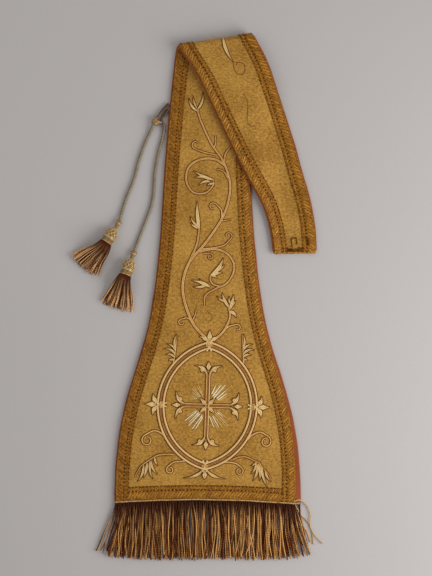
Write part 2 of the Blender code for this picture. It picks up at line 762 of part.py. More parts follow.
def skirt(tassel, frame):
    """The strands of a tassel's skirt: rows that leave the head's underside and flatten as they fan out."""
    uneven = random.Random(tassel.seed)
    root_run = TASSEL_HEAD[-1].run - STRAND_SINK
    sweep = Vector((*direction(tassel.skirt_heading), 0.0))
    beside = sweep.cross(Vector((0.0, 0.0, 1.0)))
    strands = []
    for row in SKIRT_ROWS:
        for k in range(row.strands):
            side = (k - (row.strands - 1) / 2) * SKIRT_PITCH
            root = frame @ Vector((root_run, side, row.root_height))
            length = SKIRT_LENGTH - 60.0 * side * side + uneven.uniform(-0.002, 0.002)
            tip = root + sweep * length + beside * side * (SKIRT_SPREAD - 1)
            tip.z = row.tip_z
            straight = frame.to_3x3() @ Vector((1.0, 0.0, 0.0))
            knee = root + straight * length * 0.3
            bend = root + (tip - root) * 0.62
            bend.z = row.tip_z + (root.z - row.tip_z) * 0.25
            strands.append(strand([root, knee, bend, tip], SKIRT_STRAND))
    return strands


# --------------------------------------------------------------------------------- raised embroidery


def on_cloth(half, x, up, out):
    """A point of the embroidery, at x from the centre line and `out` above the cloth's face."""
    skew = smooth_value(SECTION_ANGLES, up)
    return place(half, up - x * math.sin(math.radians(skew)), x, TRIM_OUT + out)


def raised(path, widths, height, profile=RIDGE, half=FRONT, closed=False):
    """A raised line along a path of (x, up) points, as wide at each point as widths says."""
    rings = []
    last = len(path) - 1
    for k, (point, width) in enumerate(zip(path, widths)):
        before = path[k - 1] if closed or k else path[0]
        after = path[(k + 1) % len(path)] if closed else path[min(k + 1, last)]
        onward = (after - before).normalized()
        side = Vector((-onward.y, onward.x)) * width / 2
        rings.append([on_cloth(half, *(point + share * side), high * height) for share, high in profile])
    return loft(rings, closed)


def wind(start, heading, length, turn, steps, winding=1.0):
    """Points of a line that sets out at a heading and turns, ever faster where winding is over 1."""
    path = [Vector(start)]
    for k in range(steps):
        path.append(path[-1] + length / steps * direction(heading + turn * ((k + 0.5) / steps) ** winding))
    return path


def leaf(point, heading, row, side=RIGHT, half=FRONT):
    """A pointed leaf, widest a third of the way along."""
    path = wind(point, heading + side * row.spread, row.length, side * row.turn, LEAF_STEPS)
    swells = [math.sin(math.pi * (0.10 + 0.90 * k / LEAF_STEPS) ** 0.75) for k in range(len(path))]
    return raised(path, [max(TIP_WIDTH, row.width * swell) for swell in swells], LEAF_HEIGHT, half=half)


def tendril(row, side=RIGHT):
    """A raised line that thins as it winds up, with its leaves. On the left side it is mirrored."""
    heading = row.heading if side == RIGHT else 180.0 - row.heading
    turn = side * row.turn
    path = wind((side * row.x, row.up), heading, row.length, turn, TENDRIL_STEPS, WINDING)
    widths = [row.width + (TIP_WIDTH - row.width) * (k / TENDRIL_STEPS) ** 2 for k in range(len(path))]
    pieces = [raised(path, widths, CORDING_HEIGHT)]
    for k, one in enumerate(row.leaves, 1):
        root = path[-1] - k * LEAF_SPACING * direction(heading + turn)
        pieces.append(leaf(root, heading + turn, one, side))
    return pieces


def trefoil(point, heading, bud, side_leaf, spread):
    """A bud between two leaves that curl back, as ends each arm of the cross and each clasp."""
    leaves = [Leaf(0.0, bud, 0.0, BUD_PLUMP * bud)]
    leaves += [Leaf(turn, side_leaf, -0.3 * turn, SIDE_LEAF_WIDTH) for turn in (-spread, spread)]
    return [leaf(point, heading, one) for one in leaves]


def rails():
    """The medallion's pair of rails, as one closed band with a sunk middle."""
    half_width, half_height = MEDALLION_HALF_WIDTH, MEDALLION_HALF_HEIGHT
    radius = (half_width**2 + half_height**2) / (2 * half_width)
    sweep = math.degrees(math.asin(half_height / radius))
    path = []
    for side in (RIGHT, LEFT):
        for k in range(ARC_STEPS):
            spoke = radius * direction(sweep * (2 * k / ARC_STEPS - 1))
            path.append(Vector((side * (half_width - radius + spoke.x), MEDALLION_UP + side * spoke.y)))
    return raised(path, [RAILS_WIDTH] * len(path), CORDING_HEIGHT, TWO_RAILS, closed=True)


def build_medallion():
    """The rails, the four clasps that tie them, and the tendrils that grow from them."""
    middle_point = Vector((0.0, MEDALLION_UP))
    pieces = [rails()]
    for row in CLASPS:
        onward = direction(row.heading)
        reach = MEDALLION_HALF_HEIGHT if row.heading % 180.0 else MEDALLION_HALF_WIDTH
        base = middle_point + onward * reach
        tie = [base + onward * offset for offset in (-0.0100, 0.0, 0.0080)]
        pieces.append(raised(tie, CLASP_WIDTHS, LEAF_HEIGHT, BAND))
        pieces += trefoil(base + onward * 0.0060, row.heading, CLASP_BUD, row.side_leaf, row.spread)
    for row in MEDALLION_TENDRILS:
        for side in (RIGHT, LEFT):
            pieces += tendril(row, side)
    embroidered("medallion", pieces, "cording")


def build_cross():
    """A cross with a trefoil at the end of each arm and four petals between the arms."""
    heart = Vector((0.0, MEDALLION_UP))
    arms = {0.0: CROSS_ARM_ACROSS, 90.0: CROSS_ARM_UP, 180.0: CROSS_ARM_ACROSS, 270.0: CROSS_ARM_UP}
    pieces = []
    for heading in (0.0, 90.0):
        reach = direction(heading) * (arms[heading] - 0.7 * CROSS_BUD)
        pieces.append(raised([heart - reach, heart + reach], [CROSS_BAR_WIDTH] * 2, CORDING_HEIGHT, BAND))
    for heading, arm in arms.items():
        root = heart + direction(heading) * (arm - CROSS_BUD)
        pieces += trefoil(root, heading, CROSS_BUD, CROSS_SIDE_LEAF, CROSS_SPREAD)
        between = heading + 45.0
        pieces.append(leaf(heart + 0.0020 * direction(between), between, PETAL))
    embroidered("cross", pieces, "cording")


def build_vine():
    """The winding stem that climbs from the medallion, with its tendrils and leaves."""
    stem = curve_through([Vector(turn) for turn in VINE_STEM], 2)
    root, tip = STEM_WIDTHS
    widths = [root + (tip - root) * k / (len(stem) - 1) for k in range(len(stem))]
    pieces = [raised(stem, widths, CORDING_HEIGHT, BAND)]
    for row in VINE_TENDRILS:
        pieces += tendril(row)
    embroidered("vine", pieces, "cording")


def build_sprays():
    """Leaf sprays in the corners round the medallion, alike on both sides."""
    for level, row in SPRAYS.items():
        for side, word in ((LEFT, "left"), (RIGHT, "right")):
            embroidered(f"spray_{level}_{word}", tendril(row, side), "gold_thread")


def build_strip_leaf():
    """The one leaf on the turned-over stretch, just past the fold."""
    data = leaf(STRIP_LEAF_ROOT, STRIP_LEAF_HEADING, STRIP_LEAF, half=BACK)
    add_object("strip_leaf", data, "gold_thread")


def main():
    for old in list(bpy.data.objects):
        bpy.data.objects.remove(old)
    build_cloth()
    build_linings()
    build_braids()
    for name in FRINGES:
        build_fringe(name)
    build_cords()
    build_knot()
    for which in TASSELS:
        build_tassel(which)
    build_medallion()
    build_cross()
    build_vine()
    build_sprays()
    build_strip_leaf()


main()
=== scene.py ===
"""The looks of a clerical stole: gold cloth, galloon braid, fringe, raised embroidery and a tied cord.

Lengths are in metres. The stole lies flat on the plane Z = 0 with its fringed hem towards -Y. Every layer is
placed on one middle surface, as the solids are: `up` is the distance along a half's centre line from its hem,
`along` the distance across it, and `out` the distance from the middle surface towards that half's face.
"""

from __future__ import annotations

import json
import logging
import math
import random
from dataclasses import asdict, dataclass, fields
from enum import Enum
from functools import lru_cache, partial
from typing import Callable, ClassVar, Iterable, Sequence

import bmesh
import bpy
from mathutils import Matrix, Vector, noise

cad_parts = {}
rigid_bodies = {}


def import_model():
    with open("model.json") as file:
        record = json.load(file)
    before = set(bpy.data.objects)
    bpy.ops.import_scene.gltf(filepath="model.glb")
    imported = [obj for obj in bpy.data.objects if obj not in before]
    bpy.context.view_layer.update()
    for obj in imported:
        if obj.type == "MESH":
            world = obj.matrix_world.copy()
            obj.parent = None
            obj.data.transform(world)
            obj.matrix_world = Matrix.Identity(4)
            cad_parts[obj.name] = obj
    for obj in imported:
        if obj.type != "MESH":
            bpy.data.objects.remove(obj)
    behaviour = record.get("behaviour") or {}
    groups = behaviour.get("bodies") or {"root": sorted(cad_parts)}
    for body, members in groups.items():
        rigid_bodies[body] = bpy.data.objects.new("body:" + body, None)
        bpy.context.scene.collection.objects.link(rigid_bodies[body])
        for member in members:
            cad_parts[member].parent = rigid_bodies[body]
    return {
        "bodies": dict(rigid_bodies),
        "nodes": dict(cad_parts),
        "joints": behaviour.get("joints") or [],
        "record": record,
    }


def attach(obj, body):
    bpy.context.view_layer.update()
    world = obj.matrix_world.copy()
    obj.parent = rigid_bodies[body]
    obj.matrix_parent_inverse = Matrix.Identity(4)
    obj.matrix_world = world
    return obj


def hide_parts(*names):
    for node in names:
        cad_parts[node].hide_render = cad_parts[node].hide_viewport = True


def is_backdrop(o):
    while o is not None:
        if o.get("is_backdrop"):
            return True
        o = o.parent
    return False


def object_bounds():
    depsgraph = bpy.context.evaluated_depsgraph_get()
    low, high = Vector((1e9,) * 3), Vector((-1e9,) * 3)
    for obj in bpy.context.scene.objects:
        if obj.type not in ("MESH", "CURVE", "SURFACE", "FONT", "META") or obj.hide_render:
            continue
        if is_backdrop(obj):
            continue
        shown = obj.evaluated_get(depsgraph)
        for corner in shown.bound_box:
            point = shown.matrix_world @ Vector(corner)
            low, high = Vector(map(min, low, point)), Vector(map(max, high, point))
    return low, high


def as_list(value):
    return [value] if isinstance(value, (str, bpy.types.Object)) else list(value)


LOG = logging.getLogger("clerical_stole")
BODY = "root"
UP = Vector((0.0, 0.0, 1.0))
FULL_TURN = 2 * math.pi
RIM = 0.002

Pair = tuple[float, float]
Triple = tuple[float, float, float]
Colour = Triple
Path = Sequence[Vector]
Spot = tuple[Vector, Vector]
Piece = bpy.types.Object


class Half(Enum):
    """The two halves of the folded stole, and the linings between them."""

    FRONT = -1
    LININGS = 0
    BACK = 1


class Side(Enum):
    """The two long edges."""

    LEFT = -1
    RIGHT = 1


# ---- node trees


class Graph:
    """A node tree being wired up, with short calls for the nodes used here."""

    def __init__(self, tree: bpy.types.NodeTree) -> None:
        """Keep the tree that the calls add to."""
        self.tree = tree

    def node(self, kind: str, **settings: object) -> bpy.types.Node:
        """Add a node of a kind, with properties set on it."""
        made = self.tree.nodes.new(kind)
        for key, value in settings.items():
            setattr(made, key, value)
        return made

    def feed(self, socket: bpy.types.NodeSocket, value: object) -> None:
        """Link a socket to an output, or set its own value."""
        if isinstance(value, bpy.types.NodeSocket):
            self.tree.links.new(value, socket)
        elif value is not None:
            socket.default_value = value

    def wired(
        self, kind: str, inputs: dict[object, object], output: object = 0, **settings: object
    ) -> object:
        """Add a node with its inputs fed.

        Args:
            kind: the node's type name.
            inputs: values or outputs, by the input's name or number.
            output: which output to give back.
            settings: its properties.

        Returns:
            That output.
        """
        made = self.node(kind, **settings)
        for key, value in inputs.items():
            self.feed(made.inputs[key], value)
        return made.outputs[output]

    def math(self, operation: str, *values: object, clamp: bool = False) -> object:
        """The result of a Math node."""
        return self.wired("ShaderNodeMath", dict(enumerate(values)), operation=operation, use_clamp=clamp)

    def total(self, base: float, *terms: tuple[object, float]) -> object:
        """A base plus terms of (socket, weight), each socket counted from one half, kept in 0 to 1."""
        found: object = base - 0.5 * sum(weight for _, weight in terms)
        for k, (socket, weight) in enumerate(terms, 1):
            found = self.math("MULTIPLY_ADD", socket, weight, found, clamp=k == len(terms))
        return found

    def mix(self, share: object, low: object, high: object) -> object:
        """A colour between two others."""
        low, high = ((*c, 1.0) if isinstance(c, tuple) else c for c in (low, high))
        return self.wired("ShaderNodeMix", {0: share, 6: low, 7: high}, 2, data_type="RGBA")

    def step(self, value: object, low: float, high: float) -> object:
        """0 to 1 as a value goes smoothly from low to high."""
        inputs = {0: value, 1: low, 2: high, 3: 0.0, 4: 1.0}
        return self.wired("ShaderNodeMapRange", inputs, interpolation_type="SMOOTHSTEP")

    def parts(self, vector: object) -> tuple[object, object]:
        """The first two parts of a vector."""
        split = self.node("ShaderNodeSeparateXYZ")
        self.feed(split.inputs[0], vector)
        return split.outputs[0], split.outputs[1]

    def weave_map(self) -> tuple[object, object, object]:
        """The piece's own map in metres, whole and as its two parts."""
        whole = self.node("ShaderNodeUVMap", uv_map="weave").outputs[0]
        return whole, *self.parts(whole)

    def noise(
        self, vector: object, scale: float, detail: float = 2.0, stretch: Sequence[float] = ()
    ) -> object:
        """Noise of about `scale` grains a metre, drawn out where stretch is given."""
        if stretch:
            vector = self.wired("ShaderNodeVectorMath", {0: vector, 1: tuple(stretch)}, operation="MULTIPLY")
        return self.wired("ShaderNodeTexNoise", {"Vector": vector, "Scale": scale, "Detail": detail})

    def wave(self, value: object, pitch: float, offset: object = 0.0) -> object:
        """A wave from 0 to 1 along a value in metres, with an offset in turns."""
        turns = self.math("MULTIPLY_ADD", value, 1.0 / pitch, offset)
        swing = self.math("SINE", self.math("MULTIPLY", turns, FULL_TURN))
        return self.math("MULTIPLY_ADD", swing, 0.5, 0.5)

    def attribute(self, name: str, output: str = "Fac") -> object:
        """What is stored on the mesh under a name, a number where no other output is asked for."""
        return self.node("ShaderNodeAttribute", attribute_name=name).outputs[output]

    def place(self) -> object:
        """The place on the object."""
        return self.node("ShaderNodeTexCoord").outputs["Object"]


# ---- finishes


@dataclass(frozen=True)
class Finish:
    """What a surface is made of: two colours of thread, and how they take the light."""

    name: str
    slot: str
    light: Colour
    dark: Colour
    roughness: float = 0.5
    metallic: float = 0.0
    gloss: float = 0.15
    relief: float = 0.0002
    pitch: float = 0.0008

    def pattern(self, graph: Graph) -> tuple[object, object]:
        """The colour and the height of the surface, as sockets."""
        raise NotImplementedError

    def material(self) -> bpy.types.Material:
        """The material, made once, which reads only the piece's own map, attributes or coordinates."""
        made = bpy.data.materials.get(self.name)
        if made:
            return made
        made = bpy.data.materials.new(self.name)
        made.use_nodes = True
        graph = Graph(made.node_tree)
        shader = made.node_tree.nodes["Principled BSDF"]
        colour, height = self.pattern(graph)
        graph.feed(shader.inputs["Base Color"], colour)
        rough = graph.math("MULTIPLY_ADD", height, -0.12, self.roughness + 0.06)
        graph.feed(shader.inputs["Roughness"], rough)
        shader.inputs["Metallic"].default_value = self.metallic
        shader.inputs["Specular IOR Level"].default_value = self.gloss
        bump = {"Strength": 1.0, "Distance": self.relief, "Height": height}
        graph.feed(shader.inputs["Normal"], graph.wired("ShaderNodeBump", bump))
        return made


@dataclass(frozen=True)
class WovenGold(Finish):
    """Cloth woven of gilt thread on silk: a fine even weave, slubs across it, and clouds of wear.

    It grows duller between the two distances from the hem that `tired` holds.
    """

    tired: Pair = (0.7, 0.86)

    def pattern(self, graph: Graph) -> tuple[object, object]:
        """See Finish.pattern."""
        flat, across, lengthways = graph.weave_map()
        grain = graph.noise(flat, 900.0, 3.0)
        patch = graph.noise(flat, 300.0, 2.0)
        slub = graph.noise(flat, 1.0, 2.0, (160.0, 900.0, 1.0))
        cloud = graph.noise(flat, 19.0, 3.0)
        warp, weft = graph.wave(across, self.pitch), graph.wave(lengthways, self.pitch)
        weave = graph.math("MAXIMUM", warp, weft)
        tired = graph.step(lengthways, *self.tired)
        share = graph.total(
            0.4, (grain, 1.8), (patch, 1.5), (slub, 1.2), (cloud, 1.2), (weave, 0.16), (tired, -0.12)
        )
        height = graph.total(0.5, (weave, 0.4), (grain, 0.9), (slub, 0.5))
        return graph.mix(share, self.dark, self.light), height


@dataclass(frozen=True)
class BraidGround(Finish):
    """The ground of the galloon, close diagonal ribs of dull gold and dark silk."""

    slant: float = 0.9

    def pattern(self, graph: Graph) -> tuple[object, object]:
        """See Finish.pattern."""
        flat, across, lengthways = graph.weave_map()
        grain = graph.noise(flat, 380.0, 3.0)
        cloud = graph.noise(flat, 40.0, 2.0)
        slanted = graph.math("MULTIPLY_ADD", across, self.slant, lengthways)
        ribs = graph.wave(slanted, self.pitch, graph.math("MULTIPLY", grain, 0.8))
        share = graph.total(0.42, (ribs, 0.5), (grain, 2.6), (cloud, 0.8))
        return graph.mix(share, self.dark, self.light), ribs


@dataclass(frozen=True)
class LiningSatin(Finish):
    """Plain silk lining with fine ribs across it, faded here and there."""

    def pattern(self, graph: Graph) -> tuple[object, object]:
        """See Finish.pattern."""
        flat, _, lengthways = graph.weave_map()
        grain = graph.noise(flat, 300.0, 2.0)
        fade = graph.noise(flat, 14.0, 2.0)
        ribs = graph.wave(lengthways, self.pitch)
        share = graph.total(0.5, (ribs, 0.3), (grain, 0.8), (fade, 1.4))
        return graph.mix(share, self.dark, self.light), ribs


@dataclass(frozen=True)
class TwistedThread(Finish):
    """A swept thread of several plies, darker at its root where `root_length` is over 0; on the tied cord
    that darker root is painted shade.

    It reads what SweptThread stores: `wrap` round the thread, `run` along it and `shade` for each thread.
    """

    plies: float = 2.0
    base: float = 0.5
    root: Colour = (0.05, 0.015, 0.006)
    root_length: float = 0.0
    uneven: float = 0.5

    def pattern(self, graph: Graph) -> tuple[object, object]:
        """See Finish.pattern."""
        east, north = graph.parts(graph.attribute("wrap", "Vector"))
        angle = graph.math("ARCTAN2", north, east)
        run, shade = graph.attribute("run"), graph.attribute("shade")
        turns = graph.math("MULTIPLY_ADD", angle, self.plies / FULL_TURN, shade)
        ply = graph.wave(run, self.pitch, turns)
        along = graph.wired("ShaderNodeCombineXYZ", {0: run, 1: graph.math("MULTIPLY", shade, 9.0)})
        streaks = graph.noise(along, 90.0, 2.0)
        share = graph.total(self.base, (ply, 0.45), (shade, self.uneven), (streaks, 1.0))
        colour = graph.mix(share, self.dark, self.light)
        if self.root_length:
            reach = graph.math("MULTIPLY", run, graph.math("MULTIPLY_ADD", shade, 1.1, 0.45))
            rooted = graph.step(reach, 0.1 * self.root_length, self.root_length)
            colour = graph.mix(rooted, self.root, colour)
        return colour, ply


@dataclass(frozen=True)
class SatinStitch(Finish):
    """Threads laid side by side over padding, slanting across the shape they fill.

    The map's first part runs from -RIM to RIM across a band. The band is painted darker towards its edges and
    along its sunk midrib: painted shade on the raised satin.
    """

    slant: float = 0.7
    base: float = 0.55
    rim: float = 0.0
    vein_shade: float = 0.0

    def pattern(self, graph: Graph) -> tuple[object, object]:
        """See Finish.pattern."""
        flat, across, lengthways = graph.weave_map()
        slanted = graph.math("MULTIPLY_ADD", across, self.slant, lengthways)
        threads = graph.wave(slanted, self.pitch)
        tone = graph.noise(flat, 260.0, 2.0)
        wear_and_shade = graph.noise(flat, 60.0, 2.0)
        # Painted shade: darker towards the band's edges and along its sunk midrib.
        away = graph.math("ABSOLUTE", across)
        edge, vein_shade = graph.step(away, 0.5 * RIM, RIM), graph.step(away, 0.25 * RIM, 0.0)
        share = graph.total(
            self.base, (threads, 0.4), (tone, 0.9), (wear_and_shade, 0.7), (edge, -self.rim), (vein_shade, -self.vein_shade)
        )
        return graph.mix(share, self.dark, self.light), threads


@dataclass(frozen=True)
class LaidStitch(Finish):
    """Single stitches, each a little lighter or darker than the next."""

    def pattern(self, graph: Graph) -> tuple[object, object]:
        """See Finish.pattern."""
        place = graph.place()
        grain = graph.noise(place, 480.0, 3.0)
        share = graph.total(0.5, (graph.attribute("shade"), 0.8), (grain, 1.8))
        return graph.mix(share, self.dark, self.light), grain


@dataclass(frozen=True)
class PaleGround(Finish):
    """The plain matt ground that the stole lies on."""

    def pattern(self, graph: Graph) -> tuple[object, object]:
        """See Finish.pattern."""
        place = graph.place()
        grain = graph.noise(place, 700.0, 2.0)
        share = graph.total(0.5, (graph.noise(place, 3.0), 0.6), (grain, 0.3))
        return graph.mix(share, self.dark, self.light), grain


GOLD_CLOTH = WovenGold(
    "gold_cloth_weave", "gold_cloth", (0.7, 0.385, 0.08), (0.31, 0.135, 0.016), 0.52, 0.15
)
LINING = LiningSatin("lining_silk", "lining", (0.46, 0.13, 0.048), (0.26, 0.062, 0.021), 0.55, pitch=0.0011)
BRAID = BraidGround(
    "braid_ground", "braid", (0.58, 0.255, 0.028), (0.17, 0.058, 0.003), 0.55, 0.1, pitch=0.0016
)
BRAID_GOLD = LaidStitch(
    "braid_gold_thread", "braid", (0.68, 0.32, 0.042), (0.28, 0.108, 0.007), 0.45, 0.15, 0.3
)
# Painted shade: a darker copy of the braid's gold thread, used for the strokes of the left front braid on the
# side away from the light.
BRAID_SHADED = LaidStitch("braid_worn_thread", "braid", (0.46, 0.19, 0.03), (0.16, 0.055, 0.006), 0.5, 0.1)
BRAID_EDGE = LaidStitch(
    "braid_edge_silk", "braid", (0.26, 0.11, 0.02), (0.075, 0.027, 0.005), 0.6, gloss=0.05
)
BRAID_DARK = LaidStitch(
    "braid_dark_silk", "braid", (0.15, 0.046, 0.004), (0.05, 0.015, 0.001), 0.6, gloss=0.05
)
FRINGE_GOLD = TwistedThread(
    "fringe_bullion", "fringe", (0.8, 0.42, 0.13), (0.115, 0.021, 0.001), 0.36, 0.2, pitch=0.0034, plies=1.0,
    base=0.3, root=(0.06, 0.012, 0.002), root_length=0.042, uneven=1.5
)
HEADING = TwistedThread(
    "heading_cord", "fringe", (0.84, 0.56, 0.22), (0.36, 0.17, 0.05), 0.42, 0.2, pitch=0.0036
)
# Painted shade: the cord's root colour darkens it from the stole's edge down past the knot, for the shade the
# doubled cord lies in.
CORD = TwistedThread(
    "twisted_cord", "cord", (0.4, 0.32, 0.205), (0.12, 0.085, 0.048), 0.4, 0.2, 0.4, pitch=0.004, plies=3.0,
    root=(0.085, 0.04, 0.018), root_length=0.046
)
KNOT = TwistedThread(
    "knotted_cord", "cord", (0.58, 0.37, 0.16), (0.075, 0.03, 0.011), 0.36, 0.25, 0.4, pitch=0.005
)
TASSEL_GOLD = SatinStitch(
    "tassel_head_gold", "tassel", (0.62, 0.4, 0.16), (0.11, 0.052, 0.016), 0.34, 0.35, 0.4, slant=0.0
)
TASSEL_NET = TwistedThread(
    "tassel_net", "tassel", (1.0, 0.74, 0.36), (0.34, 0.17, 0.06), 0.32, 0.35, 0.5, pitch=0.003
)
SKIRT = TwistedThread(
    "tassel_bullion", "tassel", (0.98, 0.6, 0.27), (0.2, 0.052, 0.009), 0.36, 0.2, pitch=0.0034, plies=1.0,
    base=0.46, root=(0.1, 0.02, 0.004), root_length=0.044, uneven=1.6
)
OUTLINE_SILK = TwistedThread(
    "outline_silk", "cording", (0.205, 0.05, 0.003), (0.09, 0.02, 0.001), 0.6, gloss=0.02, pitch=0.0016
)
COPPER_CORD = TwistedThread(
    "copper_cord", "cording", (1.0, 0.65, 0.26), (0.56, 0.25, 0.055), 0.36, 0.1, pitch=0.0024
)
COPPER_SATIN = SatinStitch("copper_satin", "cording", (0.64, 0.31, 0.085), (0.3, 0.12, 0.022), 0.46, 0.1)
WORN_SILK = TwistedThread(
    "worn_silk", "cording", (0.34, 0.155, 0.036), (0.15, 0.058, 0.012), 0.6, pitch=0.0016
)
# Painted shade: both gold satins are drawn darker at their edges, and the pale one along its midrib as well.
PALE_SATIN = SatinStitch(
    "pale_gold_satin", "gold_thread", (1.0, 0.73, 0.32), (0.64, 0.3, 0.062), 0.34, 0.05, 0.4, base=0.75,
    rim=0.9, vein_shade=0.4
)
DULL_SATIN = SatinStitch(
    "dull_gold_satin", "gold_thread", (1.0, 0.66, 0.27), (0.46, 0.19, 0.035), 0.38, 0.05, 0.3, base=0.75,
    rim=0.9
)
SILVER_STRIP = LaidStitch(
    "silver_strip", "gold_thread", (1.0, 0.95, 0.66), (1.0, 0.88, 0.52), 0.24, 0.0, 0.9
)
GOLD_STRIP = LaidStitch("gold_strip", "gold_thread", (1.0, 0.78, 0.36), (0.8, 0.5, 0.15), 0.3, 0.05, 0.6)
FRAYED = LaidStitch("frayed_silk", "cording", (0.24, 0.075, 0.012), (0.05, 0.013, 0.002), 0.65, gloss=0.05)
GROUND = PaleGround("pale_ground", "", (0.612, 0.58, 0.566), (0.572, 0.545, 0.533), 0.85, gloss=0.5)


# ---- mesh helpers


def ease(share: float) -> float:
    """0 to 1 with level ends, for a share that may lie outside 0 to 1."""
    share = max(0.0, min(1.0, share))
    return share * share * (3 - 2 * share)


def smooth_value(rows: Sequence[Pair], at: float) -> float:
    """The second column of a table at a value of its first, on a smooth curve through the rows."""
    at = max(rows[0][0], min(rows[-1][0], at))
    last = len(rows) - 1
    i = next(k for k in range(last) if at <= rows[k + 1][0])

    def slope(k: int) -> float:
        """The curve's slope at a row."""
        low, high = max(k - 1, 0), min(k + 1, last)
        return (rows[high][1] - rows[low][1]) / (rows[high][0] - rows[low][0])

    run = rows[i + 1][0] - rows[i][0]
    t = (at - rows[i][0]) / run
    bulge = t * (1 - t) ** 2 * slope(i) - t * t * (1 - t) * slope(i + 1)
    return (1 + 2 * t) * (1 - t) ** 2 * rows[i][1] + t * t * (3 - 2 * t) * rows[i + 1][1] + run * bulge


def evenly(start: float, end: float, count: int) -> list[float]:
    """Values from a start to an end in so many even steps."""
    return [start + (end - start) * k / count for k in range(count + 1)]


def angles(count: int) -> list[float]:
    """So many even angles once round."""
    return [k * FULL_TURN / count for k in range(count)]


def direction(degrees: float) -> Vector:
    """The unit vector at an angle from +X, in the plane."""
    return Vector((math.cos(math.radians(degrees)), math.sin(math.radians(degrees))))


def curve_through(points: Path, steps: int) -> list[Vector]:
    """Points on a Catmull-Rom curve through the given ones, with so many steps between each two."""
    ends = [2 * points[0] - points[1], *points, 2 * points[-1] - points[-2]]
    found = []
    for a, b, c, d in zip(ends, ends[1:], ends[2:], ends[3:]):
        bend, twist = 2 * a - 5 * b + 4 * c - d, 3 * b - a - 3 * c + d
        for k in range(steps):
            t = k / steps
            found.append(0.5 * (2 * b + (c - a) * t + bend * t**2 + twist * t**3))
    return [*found, points[-1]]


def wind(
    start: Vector, heading: float, length: float, turn: float, steps: int, winding: float
) -> list[Vector]:
    """Points of a line that sets out at a heading and turns, ever faster where winding is over 1."""
    path = [Vector(start)]
    for k in range(steps):
        path.append(path[-1] + length / steps * direction(heading + turn * ((k + 0.5) / steps) ** winding))
    return path


def length_of(path: Path) -> float:
    """The length of a line of points."""
    return sum((b - a).length for a, b in zip(path, path[1:]))


def onward_at(path: Path, k: int) -> Vector:
    """The way that a line runs at one of its points."""
    return (path[min(k + 1, len(path) - 1)] - path[max(k - 1, 0)]).normalized()


def leftward(onward: Vector) -> Vector:
    """A flat direction turned a quarter to the left."""
    return Vector((-onward.y, onward.x))


def beside(path: Path, offset: float | Sequence[float]) -> list[Vector]:
    """A flat line moved sideways by one offset, or one for each point, to its left where it is over 0."""
    offsets = [offset] * len(path) if isinstance(offset, float) else offset
    return [point + offsets[k] * leftward(onward_at(path, k)) for k, point in enumerate(path)]


def store(mesh: bpy.types.Mesh, name: str, values: Sequence[float], kind: str = "value") -> None:
    """Keep a number for each point of a mesh, or a vector where kind says so."""
    data_type = "FLOAT_VECTOR" if kind == "vector" else "FLOAT"
    mesh.attributes.new(name, data_type, "POINT").data.foreach_set(kind, values)


def linked(name: str, data: bpy.types.ID) -> Piece:
    """A new object of the scene."""
    made = bpy.data.objects.new(name, data)
    bpy.context.scene.collection.objects.link(made)
    return made


class Pile:
    """Closed pieces of one finish, gathered into one mesh with a map in metres."""

    def __init__(self) -> None:
        """Start with nothing."""
        self.verts: list[Vector] = []
        self.faces: list[tuple[int, ...]] = []
        self.map: list[float] = []

    def loft(
        self, rings: Sequence[Path], across: Sequence[float], runs: Sequence[float], split: bool = False
    ) -> None:
        """Add a closed piece through rings of points, with an end face on the first and the last.

        Args:
            rings: rings of as many points each.
            across: the map's first part for each point of a ring, with its first point again.
            runs: the map's second part for each ring.
            split: whether the end faces are split at every column.
        """
        start, count = len(self.verts), len(rings[0])
        for ring in rings:
            self.verts.extend(ring)
        for r in range(len(rings) - 1):
            low, high = start + r * count, start + (r + 1) * count
            for k in range(count):
                j = (k + 1) % count
                self.faces.append((low + k, low + j, high + j, high + k))
                for u, v in ((k, r), (k + 1, r), (k + 1, r + 1), (k, r + 1)):
                    self.map += (across[u], runs[v])
        ends = [tuple(range(count))]
        if split:
            ends = [(k, k + 1, count - k - 2, count - k - 1) for k in range(count // 2 - 1)]
        for r in (0, len(rings) - 1):
            for end in ends:
                self.faces.append(tuple(start + r * count + k for k in end))
                for k in end:
                    self.map += (across[k], runs[r])

    def wall(
        self, rings: Sequence[Path], spread: Sequence[float], runs: Sequence[float], split: bool = False
    ) -> None:
        """Add a wall whose rings go over its width and back, with the map's first part by column."""
        self.loft(rings, [*spread, *reversed(spread), spread[0]], runs, split)

    def built(self, name: str, finish: Finish, sharp: float = 50.0) -> Piece:
        """The pieces as one object with its finish.

        Args:
            name: the object's name.
            finish: what it is made of.
            sharp: the angle past which an edge is sharp.

        Returns:
            The object.
        """
        mesh = bpy.data.meshes.new(name)
        mesh.from_pydata([tuple(v) for v in self.verts], [], self.faces)
        mesh.uv_layers.new(name="weave").data.foreach_set("uv", self.map)
        mesh.materials.append(finish.material())
        return placed(name, mesh, sharp)


def placed(name: str, mesh: bpy.types.Mesh, sharp: float = 180.0) -> Piece:
    """A mesh as an object of the scene, shaded smooth, with its faces turned outwards."""
    whole = bmesh.new()
    whole.from_mesh(mesh)
    bmesh.ops.recalc_face_normals(whole, faces=whole.faces)
    whole.to_mesh(mesh)
    whole.free()
    mesh.shade_smooth()
    if sharp < 180.0:
        mesh.set_sharp_from_angle(angle=math.radians(sharp))
    return linked(name, mesh)


def ridden(piece: Piece, finish: Finish, *nodes: str) -> Piece:
    """Join a piece to the body and the solids it stands for, and report it.

    Args:
        piece: the finished object.
        finish: its finish; not used.
        nodes: the solids that it replaces.

    Returns:
        The same object.
    """
    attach(piece, BODY)
    if nodes:
        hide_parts(*nodes)
    triangles = sum(len(p.vertices) - 2 for p in piece.data.polygons)
    lowest = min(vertex.co.z for vertex in piece.data.vertices)
    stands_for = ", ".join(nodes) or "nothing"
    LOG.info("%s: %d triangles, lowest point %.4f, stands for %s", piece.name, triangles, lowest, stands_for)
    return piece


# ---- node growers


